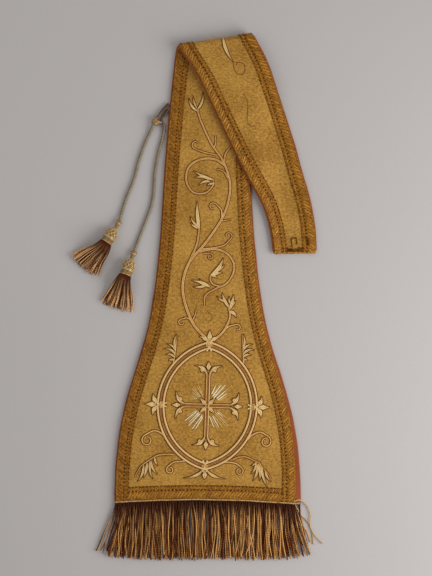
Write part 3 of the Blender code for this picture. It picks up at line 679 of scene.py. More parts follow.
class Guide:
    """Lines of points that Geometry Nodes turn into threads or stitches."""

    def __init__(self, seed: int) -> None:
        """Start with no lines, and a seed for their shades."""
        self.points: list[Vector] = []
        self.edges: list[tuple[int, int]] = []
        self.values: dict[str, list[float]] = {"thick": [], "run": [], "shade": []}
        self.faces: list[float] = []
        self.random = random.Random(seed)

    def add(
        self, path: Path, thick: float | Sequence[float] = 0.0, closed: bool = False,
        normals: Path | None = None, shade: float | None = None
    ) -> None:
        """Add one line.

        Args:
            path: its points.
            thick: the thread's radius, or one for each point.
            closed: whether it goes back to its start.
            normals: the way up at each point.
            shade: how light it is, from 0 to 1, or None for a random one.
        """
        start, run = len(self.points), 0.0
        shade = self.random.random() if shade is None else shade
        for k, point in enumerate(path):
            run += (point - path[k - 1]).length if k else 0.0
            self.values["thick"].append(thick if isinstance(thick, float) else thick[k])
            self.values["run"].append(run)
            self.values["shade"].append(shade)
            self.faces += tuple(normals[k]) if normals else (0.0, 0.0, 1.0)
        self.points.extend(path)
        self.edges += [(start + k, start + k + 1) for k in range(len(path) - 1)]
        if closed:
            self.edges.append((start + len(path) - 1, start))

    def add_spots(self, spots: Sequence[Spot]) -> None:
        """Add a line of points that each have their own normal."""
        self.add([point for point, _ in spots], normals=[normal for _, normal in spots])

    def mesh(self) -> bpy.types.Mesh:
        """The lines as a mesh of edges with attributes."""
        made = bpy.data.meshes.new("guide")
        made.from_pydata([tuple(p) for p in self.points], self.edges, [])
        for key, values in self.values.items():
            store(made, key, values)
        store(made, "face", self.faces, "vector")
        return made


class Grower:
    """A Geometry Nodes tree with named inputs, run on a guide and turned into a plain mesh."""

    title = ""
    inputs: dict[str, tuple[str, object]] = {}

    def wire(self, graph: Graph, given: dict[str, object]) -> object:
        """Wire the tree, and give the geometry before its finish is set."""
        raise NotImplementedError

    def tree(self) -> bpy.types.GeometryNodeTree:
        """The tree, made once, which ends in Realize Instances and Set Material."""
        found = bpy.data.node_groups.get(self.title)
        if found:
            return found
        tree = bpy.data.node_groups.new(self.title, "GeometryNodeTree")
        sockets = {
            "Guide": ("NodeSocketGeometry", None), **self.inputs, "Finish": ("NodeSocketMaterial", None)
        }
        for name, (kind, default) in sockets.items():
            socket = tree.interface.new_socket(name, in_out="INPUT", socket_type=kind)
            if default is not None:
                socket.default_value = default
        tree.interface.new_socket("Grown", in_out="OUTPUT", socket_type="NodeSocketGeometry")
        graph = Graph(tree)
        given = {socket.name: socket for socket in graph.node("NodeGroupInput").outputs if socket.name}
        grown = graph.wired("GeometryNodeSetShadeSmooth", {"Geometry": self.wire(graph, given)})
        grown = graph.wired("GeometryNodeRealizeInstances", {"Geometry": grown})
        grown = graph.wired("GeometryNodeSetMaterial", {"Geometry": grown, "Material": given["Finish"]})
        graph.feed(graph.node("NodeGroupOutput").inputs[0], grown)
        return tree

    def grown(self, name: str, guide: Guide, finish: Finish, **values: object) -> Piece:
        """Run the tree on a guide.

        Args:
            name: the finished object's name.
            guide: the lines to grow on.
            finish: what the result is made of.
            values: values of the named inputs.

        Returns:
            A plain mesh object with no modifier.
        """
        tree = self.tree()
        source = linked(f"{name}_guide", guide.mesh())
        modifier = source.modifiers.new("grow", "NODES")
        modifier.node_group = tree
        asked = {**values, "Finish": finish.material()}
        for socket in tree.interface.items_tree:
            if socket.in_out == "INPUT" and socket.name in asked:
                modifier[socket.identifier] = asked[socket.name]
        depsgraph = bpy.context.evaluated_depsgraph_get()
        mesh = bpy.data.meshes.new_from_object(
            source.evaluated_get(depsgraph), preserve_all_data_layers=True, depsgraph=depsgraph
        )
        mesh.name = name
        bpy.data.objects.remove(source)
        if not mesh.materials:
            mesh.materials.append(finish.material())
        return placed(name, mesh)


class SweptThread(Grower):
    """Sweeps a round thread along every line of the guide, and stores the way round it."""

    title = "swept_thread"
    inputs = {"Thickness": ("NodeSocketFloat", 1.0), "Sides": ("NodeSocketInt", 6)}

    def wire(self, graph: Graph, given: dict[str, object]) -> object:
        """See Grower.wire."""
        curve = graph.wired("GeometryNodeMeshToCurve", {"Mesh": given["Guide"]})
        thick = graph.wired("GeometryNodeInputNamedAttribute", {"Name": "thick"}, data_type="FLOAT")
        section = graph.wired(
            "GeometryNodeCurvePrimitiveCircle", {"Resolution": given["Sides"], "Radius": 1.0}
        )
        place = graph.node("GeometryNodeInputPosition").outputs[0]
        section = graph.wired(
            "GeometryNodeStoreNamedAttribute", {"Geometry": section, "Name": "wrap", "Value": place},
            data_type="FLOAT_VECTOR"
        )
        scale = graph.math("MULTIPLY", thick, given["Thickness"])
        inputs = {"Curve": curve, "Profile Curve": section, "Scale": scale, "Fill Caps": True}
        return graph.wired("GeometryNodeCurveToMesh", inputs)

    def laid(self, name: str, guide: Guide, finish: Finish, sides: int, *nodes: str) -> Piece:
        """Threads along a guide, joined to the body in place of the given solids."""
        return ridden(self.grown(name, guide, finish, Sides=sides), finish, *nodes)


@dataclass(frozen=True)
class Stitch:
    """The sizes of one stitch and how a row of them lies."""

    spacing: float
    length: float
    width: float
    height: float
    slant: float = 0.0
    alternate: float = 0.0
    uneven: float = 0.1

    def laid(self, name: str, guide: Guide, finish: Finish, seed: int, turn: float = 1.0) -> Piece:
        """A row of these stitches along a guide, which slant the other way where turn is -1."""
        sizes = {key.title(): value for key, value in asdict(self).items()}
        sizes["Slant"] = turn * self.slant
        return ridden(STITCHED.grown(name, guide, finish, **sizes, Seed=seed), finish)


class StitchRow(Grower):
    """Lays small rounded stitches along every line of the guide, at a spacing and a slant."""

    title = "stitch_row"
    inputs = {field.name.title(): ("NodeSocketFloat", 0.0) for field in fields(Stitch)}
    inputs["Seed"] = ("NodeSocketInt", 0)

    def wire(self, graph: Graph, given: dict[str, object]) -> object:
        """See Grower.wire."""
        curve = graph.wired("GeometryNodeMeshToCurve", {"Mesh": given["Guide"]})
        spread = graph.node("GeometryNodeCurveToPoints", mode="LENGTH")
        graph.feed(spread.inputs["Curve"], curve)
        graph.feed(spread.inputs["Length"], given["Spacing"])
        facing = graph.wired("GeometryNodeInputNamedAttribute", {"Name": "face"}, data_type="FLOAT_VECTOR")
        turned = graph.wired("FunctionNodeAlignRotationToVector", {"Vector": facing}, axis="Z")
        turned = graph.wired(
            "FunctionNodeAlignRotationToVector", {"Rotation": turned, "Vector": spread.outputs["Tangent"]},
            axis="X", pivot_axis="Z"
        )
        index = graph.node("GeometryNodeInputIndex").outputs[0]
        odd = graph.math("MULTIPLY", graph.math("MODULO", index, 2.0), given["Alternate"])
        slant = graph.math("MULTIPLY", given["Slant"], graph.math("MULTIPLY_ADD", odd, -2.0, 1.0))
        loose = graph.math("MULTIPLY", given["Uneven"], self.drawn(graph, given, -1.0, 1.0, 1))
        euler = graph.wired("ShaderNodeCombineXYZ", {2: graph.math("ADD", slant, loose)})
        turn = graph.wired("FunctionNodeEulerToRotation", {0: euler})
        turned = graph.wired("FunctionNodeRotateRotation", {0: turned, 1: turn}, rotation_space="LOCAL")
        size = graph.wired(
            "ShaderNodeCombineXYZ", {0: given["Length"], 1: given["Width"], 2: given["Height"]}
        )
        stitch = graph.wired("GeometryNodeMeshUVSphere", {"Segments": 6, "Rings": 4, "Radius": 0.5})
        stitch = graph.wired("GeometryNodeTransform", {"Geometry": stitch, "Scale": size})
        scale = self.drawn(graph, given, 0.85, 1.12, 2)
        inputs = {"Points": spread.outputs["Points"], "Instance": stitch, "Rotation": turned, "Scale": scale}
        laid = graph.wired("GeometryNodeInstanceOnPoints", inputs)
        shade = self.drawn(graph, given, 0.0, 1.0, 3)
        inputs = {"Geometry": laid, "Name": "shade", "Value": shade}
        return graph.wired("GeometryNodeStoreNamedAttribute", inputs, data_type="FLOAT", domain="INSTANCE")

    def drawn(self, graph: Graph, given: dict[str, object], low: float, high: float, draw: int) -> object:
        """A random number for each stitch, from the tree's seed."""
        seed = graph.math("ADD", given["Seed"], draw)
        return graph.wired("FunctionNodeRandomValue", {2: low, 3: high, "Seed": seed}, 1, data_type="FLOAT")


SWEPT = SweptThread()
STITCHED = StitchRow()


# ---- the stole's own form


@dataclass(frozen=True)
class Crease:
    """A soft trough (depth under 0) or ridge of the cloth, round a short straight line."""

    half: Half
    x: float
    up: float
    heading: float
    length: float
    width: float
    depth: float

    def height(self, x: float, up: float) -> float:
        """How far the crease lifts the cloth at a place."""
        onward = direction(self.heading)
        away = Vector((x - self.x, up - self.up))
        run = max(-0.5, min(0.5, away.dot(onward) / self.length))
        gap = (away - run * self.length * onward).length
        return self.depth * math.exp(-((gap / self.width) ** 2)) * (1 - (2 * run) ** 4)


@dataclass(frozen=True, eq=False)
class StoleForm:
    """The middle surface of the folded stole, and the distances of its layers from it."""

    gap: float = 0.0003
    cloth_thick: float = 0.0014
    lining_thick: float = 0.001
    lining_shows: float = 0.0012
    half_length: float = 0.969
    braid_width: float = 0.0185
    outline: tuple[Pair, ...] = (
        (0.0, 0.1265), (0.042, 0.1262), (0.077, 0.1238), (0.113, 0.119), (0.15, 0.1107), (0.185, 0.1004),
        (0.221, 0.0893), (0.256, 0.0806), (0.294, 0.074), (0.365, 0.066), (0.431, 0.0616), (0.54, 0.056),
        (0.64, 0.0516), (0.716, 0.0476), (0.788, 0.0431), (0.83, 0.04), (0.879, 0.0345), (0.922, 0.0319),
        (0.969, 0.0302)
    )
    bends: tuple[Triple, ...] = (
        (0.0, 0.42, 0.0), (0.42, 0.64, -5.0), (0.64, 0.88, 0.0), (0.88, 0.969, 20.5)
    )
    section_angles: tuple[Pair, ...] = ((0.0, 0.0), (0.42, 0.0), (0.6, 8.5), (0.73, 8.5), (0.969, 16.0))
    fold_angle: float = 8.5
    fold_up: float = 0.64
    fold_radius: float = 0.007
    front_swing: float = -0.0025
    back_swing: float = 0.0039
    swing_end: float = 0.38
    settle_run: float = 0.13
    side_drift: float = 0.008
    side_drift_run: float = 0.07
    on_panel: float = 0.0112
    droop_at_fold: float = 0.06
    droop_at_neck: float = 0.04
    hem_x: float = -0.0011
    hem_y: float = -0.2879
    hem_up: float = 0.0046
    hem_bow: float = 0.0049
    hem_lean: float = -0.001
    bow_half: float = 0.125
    bow_end: float = 0.044
    bow_fade: float = 0.018
    swell: float = 0.0004
    swell_scale: float = 42.0
    strip_edge_x: float = 0.0915
    strip_edge_up: float = 0.355
    strip_edge_slope: float = -0.439
    creases: tuple[Crease, ...] = (
        Crease(Half.FRONT, -0.01, 0.431, 2.0, 0.078, 0.0022, -0.00045),
        Crease(Half.FRONT, -0.012, 0.356, -3.0, 0.07, 0.003, -0.00022),
        Crease(Half.FRONT, 0.05, 0.3, 70.0, 0.06, 0.005, 0.0005),
        Crease(Half.FRONT, -0.06, 0.225, 62.0, 0.08, 0.006, 0.0005),
        Crease(Half.FRONT, 0.084, 0.105, 100.0, 0.07, 0.007, -0.0004),
        Crease(Half.FRONT, -0.089, 0.08, 84.0, 0.09, 0.0065, 0.0006),
        Crease(Half.FRONT, 0.02, 0.032, 8.0, 0.15, 0.0055, 0.0005),
        Crease(Half.FRONT, 0.06, 0.06, 30.0, 0.04, 0.005, -0.0003),
        Crease(Half.BACK, 0.004, 0.7, 84.0, 0.07, 0.007, -0.0003),
        Crease(Half.BACK, -0.008, 0.8, 96.0, 0.11, 0.007, 0.0005),
        Crease(Half.BACK, 0.012, 0.88, 70.0, 0.07, 0.006, -0.0004),
        Crease(Half.BACK, -0.004, 0.938, 12.0, 0.04, 0.004, 0.0004)
    )

    @property
    def cloth_out(self) -> float:
        """The cloth's inner face."""
        return self.lining_thick + self.gap

    @property
    def face_out(self) -> float:
        """The cloth's outer face."""
        return self.cloth_out + self.cloth_thick

    @property
    def on_floor(self) -> float:
        """The middle surface's height where the stole lies on the floor."""
        return self.face_out

    @lru_cache(maxsize=None)
    def centre(self, up: float) -> tuple[Vector, float]:
        """The centre line's point in the flat pattern, and its heading in degrees."""
        point, heading = Vector((0.0, 0.0)), 90.0
        for start, end, turned in self.bends:
            last = start == self.bends[-1][0]
            run = up - start if last else min(up, end) - start
            if run <= 0 and start > 0:
                break
            turn = turned * run / (end - start)
            half = math.radians(turn) / 2
            chord = run if half == 0 else run * math.sin(half) / half
            point = point + chord * direction(heading + turn / 2)
            heading += turn
        return point, heading

    @lru_cache(maxsize=None)
    def half_width(self, up: float) -> float:
        """Half the stole's width."""
        return smooth_value(self.outline, up)

    @lru_cache(maxsize=None)
    def section_angle(self, up: float) -> float:
        """The angle in degrees at which a section runs across."""
        return smooth_value(self.section_angles, up)

    def to_edge(self, up: float, side: Side, inset: float) -> float:
        """`along` at an inset from an edge."""
        heading = self.centre(up)[1]
        skew = math.radians(self.section_angle(up) - heading + 90.0)
        reach = self.half_width(up)
        for _ in range(3):
            width = smooth_value(self.outline, up + side.value * reach * math.sin(skew))
            reach = (width - inset) / math.cos(skew)
        return side.value * reach

    def swing(self, half: Half, up: float, along: float) -> float:
        """How far to the right a half's section lies, where the hems lie apart."""
        ease_off = max(0.0, 1 - up / self.swing_end) ** 2
        front = half is Half.FRONT or (half is Half.LININGS and along < 0)
        return (self.front_swing if front else self.back_swing) * ease_off

    def bow(self, up: float, along: float) -> float:
        """How far up the page the stole bows near its hems."""
        share = along / self.bow_half
        fade = ease((self.bow_end - up) / self.bow_fade)
        return fade * (self.hem_bow * (1 - share * share) + self.hem_lean * share)

    def middle(self, half: Half, up: float, along: float) -> Vector:
        """The middle surface's point."""
        hem = Vector((self.hem_x, self.hem_y, 0.0))
        flat = self.centre(up)[0] + along * direction(self.section_angle(up))
        flat = flat + Vector((self.swing(half, up, along), self.bow(up, along)))
        line, away = direction(self.fold_angle), direction(self.fold_angle + 90.0)
        past = (flat - self.centre(self.fold_up)[0]).dot(away)
        roll = math.pi * self.fold_radius
        if past <= 0:
            return hem + Vector((*flat, self.on_floor))
        foot = flat - past * away + self.side_drift * ease(past / self.side_drift_run) * line
        if past < roll:
            angle = past / self.fold_radius
            plan = foot + self.fold_radius * math.sin(angle) * away
            return hem + Vector((*plan, self.on_floor + self.fold_radius * (1 - math.cos(angle))))
        past_fold = past - roll
        plan = foot - past_fold * away
        edge = self.centre(plan.y)[0].x + self.half_width(plan.y)
        settled = ease(past_fold / (self.half_length - self.fold_up))
        droop = self.droop_at_fold + (self.droop_at_neck - self.droop_at_fold) * settled
        lying = self.on_panel + (self.face_out + 0.0004 - self.on_panel) * ease((plan.x - edge) / droop)
        top = self.on_floor + 2 * self.fold_radius
        return hem + Vector((*plan, lying + (top - lying) * (1 - ease(past_fold / self.settle_run))))

    def relief(self, half: Half, up: float, x: float) -> float:
        """How far soft creases and swells lift a half's cloth and all that is sewn on it."""
        if half is Half.LININGS:
            return 0.0
        if half is Half.FRONT:
            edge = self.strip_edge_x + self.strip_edge_slope * (up - self.strip_edge_up)
            free = ease((edge - x - 0.004) / 0.022) * ease((self.fold_up - 0.015 - up) / 0.04)
        else:
            free = ease((up - self.fold_up - 0.03) / 0.04) * ease((self.half_length - 0.004 - up) / 0.02)
        if free == 0.0:
            return 0.0
        place = Vector((x * self.swell_scale, up * self.swell_scale, 5.0 * half.value))
        swell = self.swell * noise.noise(place)
        lift = sum(crease.height(x, up) for crease in self.creases if crease.half is half)
        return free * max(-self.gap + 0.00005, lift + swell + 0.0002)

    def stance(self, half: Half, up: float, along: float) -> tuple[Vector, Vector, Vector]:
        """The middle surface's point, its normal towards the half's face, and the way along the stole."""
        step = 0.0005
        low = min(up, self.half_length)
        lengthways = self.middle(half, low + step, along) - self.middle(half, low - step, along)
        across = self.middle(half, low, along + step) - self.middle(half, low, along - step)
        normal = lengthways.cross(across).normalized() * (half.value or 1)
        return self.middle(half, low, along), normal, lengthways.normalized()

    def place(self, half: Half, up: float, along: float, out: float) -> Vector:
        """The point at `out` from the middle surface. Past its length it turns a corner at the neck."""
        base, normal, onward = self.stance(half, up, along)
        angle = math.radians(90.0) * max(0.0, up - self.half_length) / self.face_out
        out += self.relief(half, up, along)
        return base + out * (math.cos(angle) * normal + math.sin(angle) * onward)

    def on_cloth(self, half: Half, spot: Vector, out: float) -> Spot:
        """A point above the cloth's face at (x, up) from the centre line, and the normal there."""
        level = spot.y - spot.x * math.sin(math.radians(self.section_angle(spot.y)))
        base, normal, _ = self.stance(half, level, spot.x)
        return base + (self.face_out + out + self.relief(half, level, spot.x)) * normal, normal

    def fold_run(self) -> float:
        """How far `up` runs on while the surface goes once round the fold."""
        lean = math.radians(self.fold_angle + 90.0 - self.centre(self.fold_up)[1])
        return math.pi * self.fold_radius / math.cos(lean)

    def half_area(self) -> float:
        """The flat area of one half's cut."""
        steps = 400
        widths = [2 * smooth_value(self.outline, self.half_length * (k + 0.5) / steps) for k in range(steps)]
        return sum(widths) * self.half_length / steps

    def levels(
        self, start: float, end: float, step: float = 0.005, fold_step: float = 0.0011
    ) -> list[float]:
        """`up` of fine sections between two places, closer together round the fold."""
        fold_end = self.fold_up + self.fold_run()
        marks = [start, *(mark for mark in (self.fold_up, fold_end) if start < mark < end), end]
        found = [start]
        for low, high in zip(marks, marks[1:]):
            size = fold_step if low >= self.fold_up and high <= fold_end + 1e-9 else step
            count = max(1, round((high - low) / size))
            found += [low + (high - low) * k / count for k in range(1, count + 1)]
        return found


FORM = StoleForm()


# ---- cloth and lining


@dataclass(frozen=True)
class ClothLayers:
    """The gold cloth of both halves as thin shells, and the linings with their rolled edges."""

    columns: int = 34
    neck_steps: int = 6
    edge_roll: float = 0.0011
    roll_step: float = 0.006

    def wall(self, half: Half, ups: Sequence[float], inset: float, low: float, high: float) -> Pile:
        """A closed wall between two distances from the middle surface.

        Args:
            half: which half it belongs to.
            ups: `up` of its sections.
            inset: how far in its edges lie.
            low: the inner face's distance.
            high: the outer face's distance.

        Returns:
            The wall in a pile of its own.
        """
        pile, rings = Pile(), []
        for up in ups:
            level = min(up, FORM.half_length)
            left, right = (FORM.to_edge(level, side, inset) for side in Side)
            steps = evenly(left, right, self.columns)
            rings.append(
                [FORM.place(half, up, along, low) for along in steps]
                + [FORM.place(half, up, along, high) for along in reversed(steps)]
            )
        spread = [0.25 * (k / self.columns - 0.5) for k in range(self.columns + 1)]
        pile.wall(rings, spread, ups, split=True)
        self.fit_map(pile, half, inset)
        return pile

    def fit_map(self, pile: Pile, half: Half, inset: float) -> None:
        """Scale the map's first part by the width, so that the weave keeps its size."""
        for k in range(0, len(pile.map), 2):
            level = min(pile.map[k + 1], FORM.half_length)
            pile.map[k] *= 2 * (FORM.half_width(level) - inset) / 0.25
            if half is Half.BACK:
                pile.map[k] += 1.0

    def build(self) -> dict[Half, Piece]:
        """Both halves of cloth and the linings, of which it gives the cloths by half."""
        turn_in = FORM.face_out - FORM.gap
        ups = FORM.levels(FORM.hem_up, FORM.half_length)
        neck = [FORM.half_length + turn_in * k / self.neck_steps for k in range(1, self.neck_steps + 1)]
        cloths = {}
        for half, word in ((Half.FRONT, "front"), (Half.BACK, "back")):
            pile = self.wall(half, ups + neck, FORM.lining_shows, FORM.cloth_out, FORM.face_out)
            cloths[half] = ridden(pile.built(f"gold_cloth_{word}", GOLD_CLOTH), GOLD_CLOTH, f"{word}_cloth")
        lining_ups = [*ups[:-1], FORM.half_length - FORM.gap]
        pile = self.wall(Half.LININGS, lining_ups, 0.0003, -FORM.lining_thick, FORM.lining_thick)
        self.add_rolled_edges(pile)
        lining = ridden(pile.built("lining_silk_pair", LINING), LINING, "linings")
        size = (2 * FORM.half_width(0.0), FORM.half_length)
        FORM.half_area()
        return cloths

    def add_rolled_edges(self, pile: Pile) -> None:
        """The narrow rolls in which the linings end, uneven in how far they show."""
        for side in Side:
            ups = FORM.levels(FORM.hem_up, FORM.half_length - 0.002, self.roll_step, 0.002)
            rings = []
            for up in ups:
                waver = noise.noise(Vector((up * 30.0, side.value * 3.0, 1.0)))
                radius = self.edge_roll * (1.0 + 0.25 * waver)
                along = FORM.to_edge(up, side, 0.0004 - 0.0005 * max(0.0, waver))
                base, normal, _ = FORM.stance(Half.LININGS, up, along)
                inner = FORM.middle(Half.LININGS, up, along - side.value * 0.001)
                outwards = (base - inner).normalized()
                rings.append(
                    [base + radius * (math.cos(t) * outwards + math.sin(t) * normal) for t in angles(8)]
                )
            pile.loft(rings, [0.0008 * k for k in range(9)], ups)


# ---- galloon


@dataclass(frozen=True)
class Galloon:
    """The galloon braid: a ribbed ground with slanting gold strokes, a chain and dark dashes."""

    thick: float = 0.0009
    sewn_at: float = 0.8
    under: float = 0.00005
    bare_start: float = 0.006
    hem_steps: int = 60
    rows: tuple[tuple[str, float, Stitch], ...] = (
        ("strokes", 0.006, Stitch(0.0046, 0.0126, 0.0021, 0.0011, 0.86, uneven=0.14)),
        ("chain", 0.015, Stitch(0.003, 0.0042, 0.0014, 0.001, 0.8, 1.0, 0.3)),
        ("dashes", 0.0117, Stitch(0.005, 0.0036, 0.0018, 0.0017, 0.6, 1.0, 0.4)),
        ("edge_dashes", 0.0176, Stitch(0.0049, 0.0036, 0.0017, 0.0014, 0.4, 1.0, 0.4))
    )
    columns: tuple[Pair, ...] = (
        (0.0, 0.1), (0.0005, 0.8), (0.0012, 1.0), (0.002, 0.6), (0.0045, 0.75), (0.009, 0.75), (0.0114, 0.6),
        (0.0122, 0.95), (0.013, 0.5), (0.0149, 0.6), (0.0168, 0.5), (0.0176, 1.0), (0.0182, 0.8),
        (0.0185, 0.1)
    )

    def lengths(self) -> list[tuple[str, Half, Side, list[float], Finish]]:
        """The side braids: name, half, side, sections and the finish of their gold strokes."""
        fold_end = FORM.fold_up + FORM.fold_run()
        lifts = (FORM.fold_radius + FORM.on_floor) / (FORM.fold_radius + FORM.face_out + 0.0012)
        start = FORM.fold_up + math.acos(lifts) / math.pi * FORM.fold_run() + FORM.gap
        found = []
        for side, word in ((Side.LEFT, "left"), (Side.RIGHT, "right")):
            # The left front braid takes the darker stroke thread: painted shade on the side away from the
            # light.
            wear_and_shade = BRAID_SHADED if side is Side.LEFT else BRAID_GOLD
            found.append((f"front_braid_{word}", Half.FRONT, side, FORM.levels(FORM.hem_up, fold_end), wear_and_shade))
            found.append(
                (f"back_braid_{word}", Half.BACK, side, FORM.levels(start, FORM.half_length), BRAID_GOLD)
            )
        return found

    def spot(self, half: Half, side: Side, up: float, inset: float, out: float) -> Spot:
        """A point of a side braid at an inset from its outer edge, and the normal there."""
        along = FORM.to_edge(up, side, FORM.lining_shows + inset)
        base, normal, _ = FORM.stance(half, up, along)
        return base + (FORM.face_out + out + FORM.relief(half, up, along)) * normal, normal

    def hem_spot(self, x: float, inset: float, out: float) -> Spot:
        """A point of the hem braid at an inset from the hem, and the normal there."""
        up = FORM.hem_up + inset
        base, normal, _ = FORM.stance(Half.FRONT, up, x)
        return base + (FORM.face_out + out + FORM.relief(Half.FRONT, up, x)) * normal, normal

    def build(self) -> list[Piece]:
        """All five lengths of braid, of which it gives every piece on the front cloth."""
        on_front = []
        for name, half, side, ups, gold in self.lengths():
            spot = partial(self.spot, half, side)
            sewn = [up for up in ups if half is Half.FRONT or up > ups[0] + self.bare_start]
            turn = float(side.value * half.value)
            pieces = self.laid(name, spot, ups, sewn, (gold, gold, BRAID_DARK, BRAID_EDGE), turn)
            on_front += pieces if half is Half.FRONT else []
        inset = FORM.lining_shows + FORM.braid_width + FORM.gap
        left, right = (FORM.to_edge(FORM.hem_up, side, inset) for side in Side)
        xs = evenly(left, right, self.hem_steps)
        silks = (BRAID_GOLD, BRAID_GOLD, BRAID_DARK, BRAID_DARK)
        return on_front + self.laid("front_braid_hem", self.hem_spot, xs, xs, silks, 1.0)

    def laid(
        self, name: str, spot: Callable[[float, float, float], Spot], marks: Sequence[float],
        sewn: Sequence[float], silks: Sequence[Finish], turn: float
    ) -> list[Piece]:
        """One length of braid: its ribbed ground, and the rows of stitches on it.

        Args:
            name: the length's name.
            spot: gives the point and the normal at a mark, an inset and a height.
            marks: where its sections lie along it.
            sewn: the marks that its stitches run over.
            silks: the finish of each row of stitches.
            turn: which way the strokes slant.

        Returns:
            The pieces made.
        """
        pile, rings = Pile(), []
        for mark in marks:
            top = [spot(mark, inset, self.thick * high)[0] for inset, high in self.columns]
            rings.append(top + [spot(mark, inset, self.under)[0] for inset, _ in reversed(self.columns)])
        pile.wall(rings, [inset for inset, _ in self.columns], marks)
        pieces = [ridden(pile.built(f"{name}_ground", BRAID, 70.0), BRAID, name)]
        seed = sum(map(ord, name))
        for (row, inset, stitch), silk in zip(self.rows, silks):
            guide = Guide(seed)
            guide.add_spots([spot(mark, inset, self.thick * self.sewn_at) for mark in sewn])
            own = (seed, turn) if row == "strokes" else (seed + (row == "edge_dashes"), 1.0)
            pieces.append(stitch.laid(f"{name}_{row}", guide, silk, *own))
        return pieces


# ---- fringe


@dataclass(frozen=True)
class Fringe:
    """One hem's bullion fringe: twisted strands in layers that hang from a heading cord."""

    node: str
    half: Half
    strands: int
    root_high: float
    root_low: float
    tip_high: float
    tip_low: float
    lean_left: float
    lean_right: float
    seed: int
    drop: float = 0.0755
    radius: float = 0.00076
    lean_power: float = 6.0
    hem_share: float = 0.93
    layers: int = 5
    steps: int = 10
    heading_radius: float = 0.0011

    def hem(self, share: float) -> Vector:
        """The hem's point at a share from -1 at the left end to 1 at the right."""
        left, right = (FORM.to_edge(FORM.hem_up, side, FORM.lining_shows) for side in Side)
        return FORM.place(self.half, FORM.hem_up, left + (right - left) * (share + 1) / 2, FORM.cloth_out)

    def build(self) -> list[Piece]:
        """The strands, the heading cord and, on the front, the loose threads."""
        guide = Guide(self.seed)
        for k in range(self.strands):
            self.add_strand(guide, k)
        strands = SWEPT.laid(f"{self.node}_strands", guide, FRINGE_GOLD, 5, self.node)
        heading = Guide(self.seed + 1)
        count = 90
        height = 0.5 * (self.root_high + self.root_low)
        for row, rise in enumerate((0.0009, -0.0008)):
            path = []
            for k in range(count + 1):
                point = self.hem(2 * k / count - 1)
                sag = 0.0005 * noise.noise(Vector((point.x * 30.0, 2.0, self.seed))) - 0.0016 - 0.0004 * row
                path.append(Vector((point.x, point.y + sag, height + rise)))
            heading.add(path, self.heading_radius, shade=0.8)
        cord = SWEPT.laid(f"{self.node}_heading_cord", heading, HEADING, 8)
        if self.half is not Half.FRONT:
            return [strands, cord]
        return [strands, cord, self.loose_threads(self.hem(1.0))]

    def add_strand(self, guide: Guide, k: int) -> None:
        """One strand, whose layer, lean, bow and length are its own."""
        draw = guide.random
        share = 2 * (k + draw.uniform(-0.4, 0.4)) / (self.strands - 1) - 1
        share = math.copysign(min(1.0, abs(share)) ** self.hem_share, share)
        layer = (k * 7 % self.layers) / (self.layers - 1)
        reach = self.lean_left if share < 0 else self.lean_right
        lean = math.copysign(reach * abs(share) ** self.lean_power, share) + draw.gauss(0.0, 0.0034)
        lean += 0.0055 * noise.noise(Vector((share * 9.0, 0.0, self.seed)))
        lean += 0.006 * noise.noise(Vector((share * 34.0, layer * 3.0, self.seed)))
        bow = draw.gauss(0.0, 0.0026)
        turns = draw.uniform(5.0, 11.0)
        root = self.hem(share)
        length = root.y - FORM.hem_y + self.drop - 0.35 * abs(lean) + draw.uniform(-0.0065, 0.0015)
        root_z = self.root_low + (self.root_high - self.root_low) * layer
        tip_z = self.tip_low + (self.tip_high - self.tip_low) * layer
        path = []
        for step in range(self.steps + 1):
            t = step / self.steps
            side = lean * t**1.5 + bow * math.sin(math.pi * t) + 0.0007 * math.sin(turns * t + k)
            z = root_z + (tip_z - root_z) * ease(1.4 * t) + 0.0005 * math.sin(5.0 * t + 2.0 * k) * t
            path.append(Vector((root.x + side, root.y - 0.0012 - length * t, max(z, self.radius + 0.0002))))
        guide.add(path, self.radius * draw.uniform(0.8, 1.15))

    def loose_threads(self, end: Vector) -> Piece:
        """The threads that have worked loose at the right end and curl out beyond the row."""
        guide = Guide(self.seed + 2)
        routes = (
            ((-0.002, 0.002), (0.006, 0.0036), (0.014, -0.002), (0.0195, -0.011), (0.0215, -0.021),
                (0.0205, -0.03), (0.025, -0.043), (0.0385, -0.058)),
            ((-0.002, 0.001), (0.003, -0.009), (0.009, -0.019), (0.0165, -0.027), (0.023, -0.04),
                (0.0255, -0.059)),
            ((-0.002, -0.001), (0.003, -0.017), (0.0085, -0.03), (0.016, -0.04), (0.0215, -0.056))
        )
        for k, route in enumerate(routes):
            turns = [end + Vector((x, y, 0.0)) for x, y in route]
            path = curve_through(turns, 6)
            for j, point in enumerate(path):
                point.z = max(0.0012, self.root_high - 0.001 * k - 0.0045 * ease(3.0 * j / len(path)))
            guide.add(path, self.radius, shade=(0.75, 0.35, 0.9)[k])
        return SWEPT.laid("fringe_front_loose_threads", guide, HEADING, 6)


FRINGES = (
    Fringe("fringe_front", Half.FRONT, 420, 0.0066, 0.004, 0.0064, 0.0022, 0.021, 0.019, 11),
    Fringe("fringe_back", Half.BACK, 110, 0.0024, 0.0012, 0.0016, 0.0011, 0.016, 0.014, 12)
)


# ---- cord and tassels


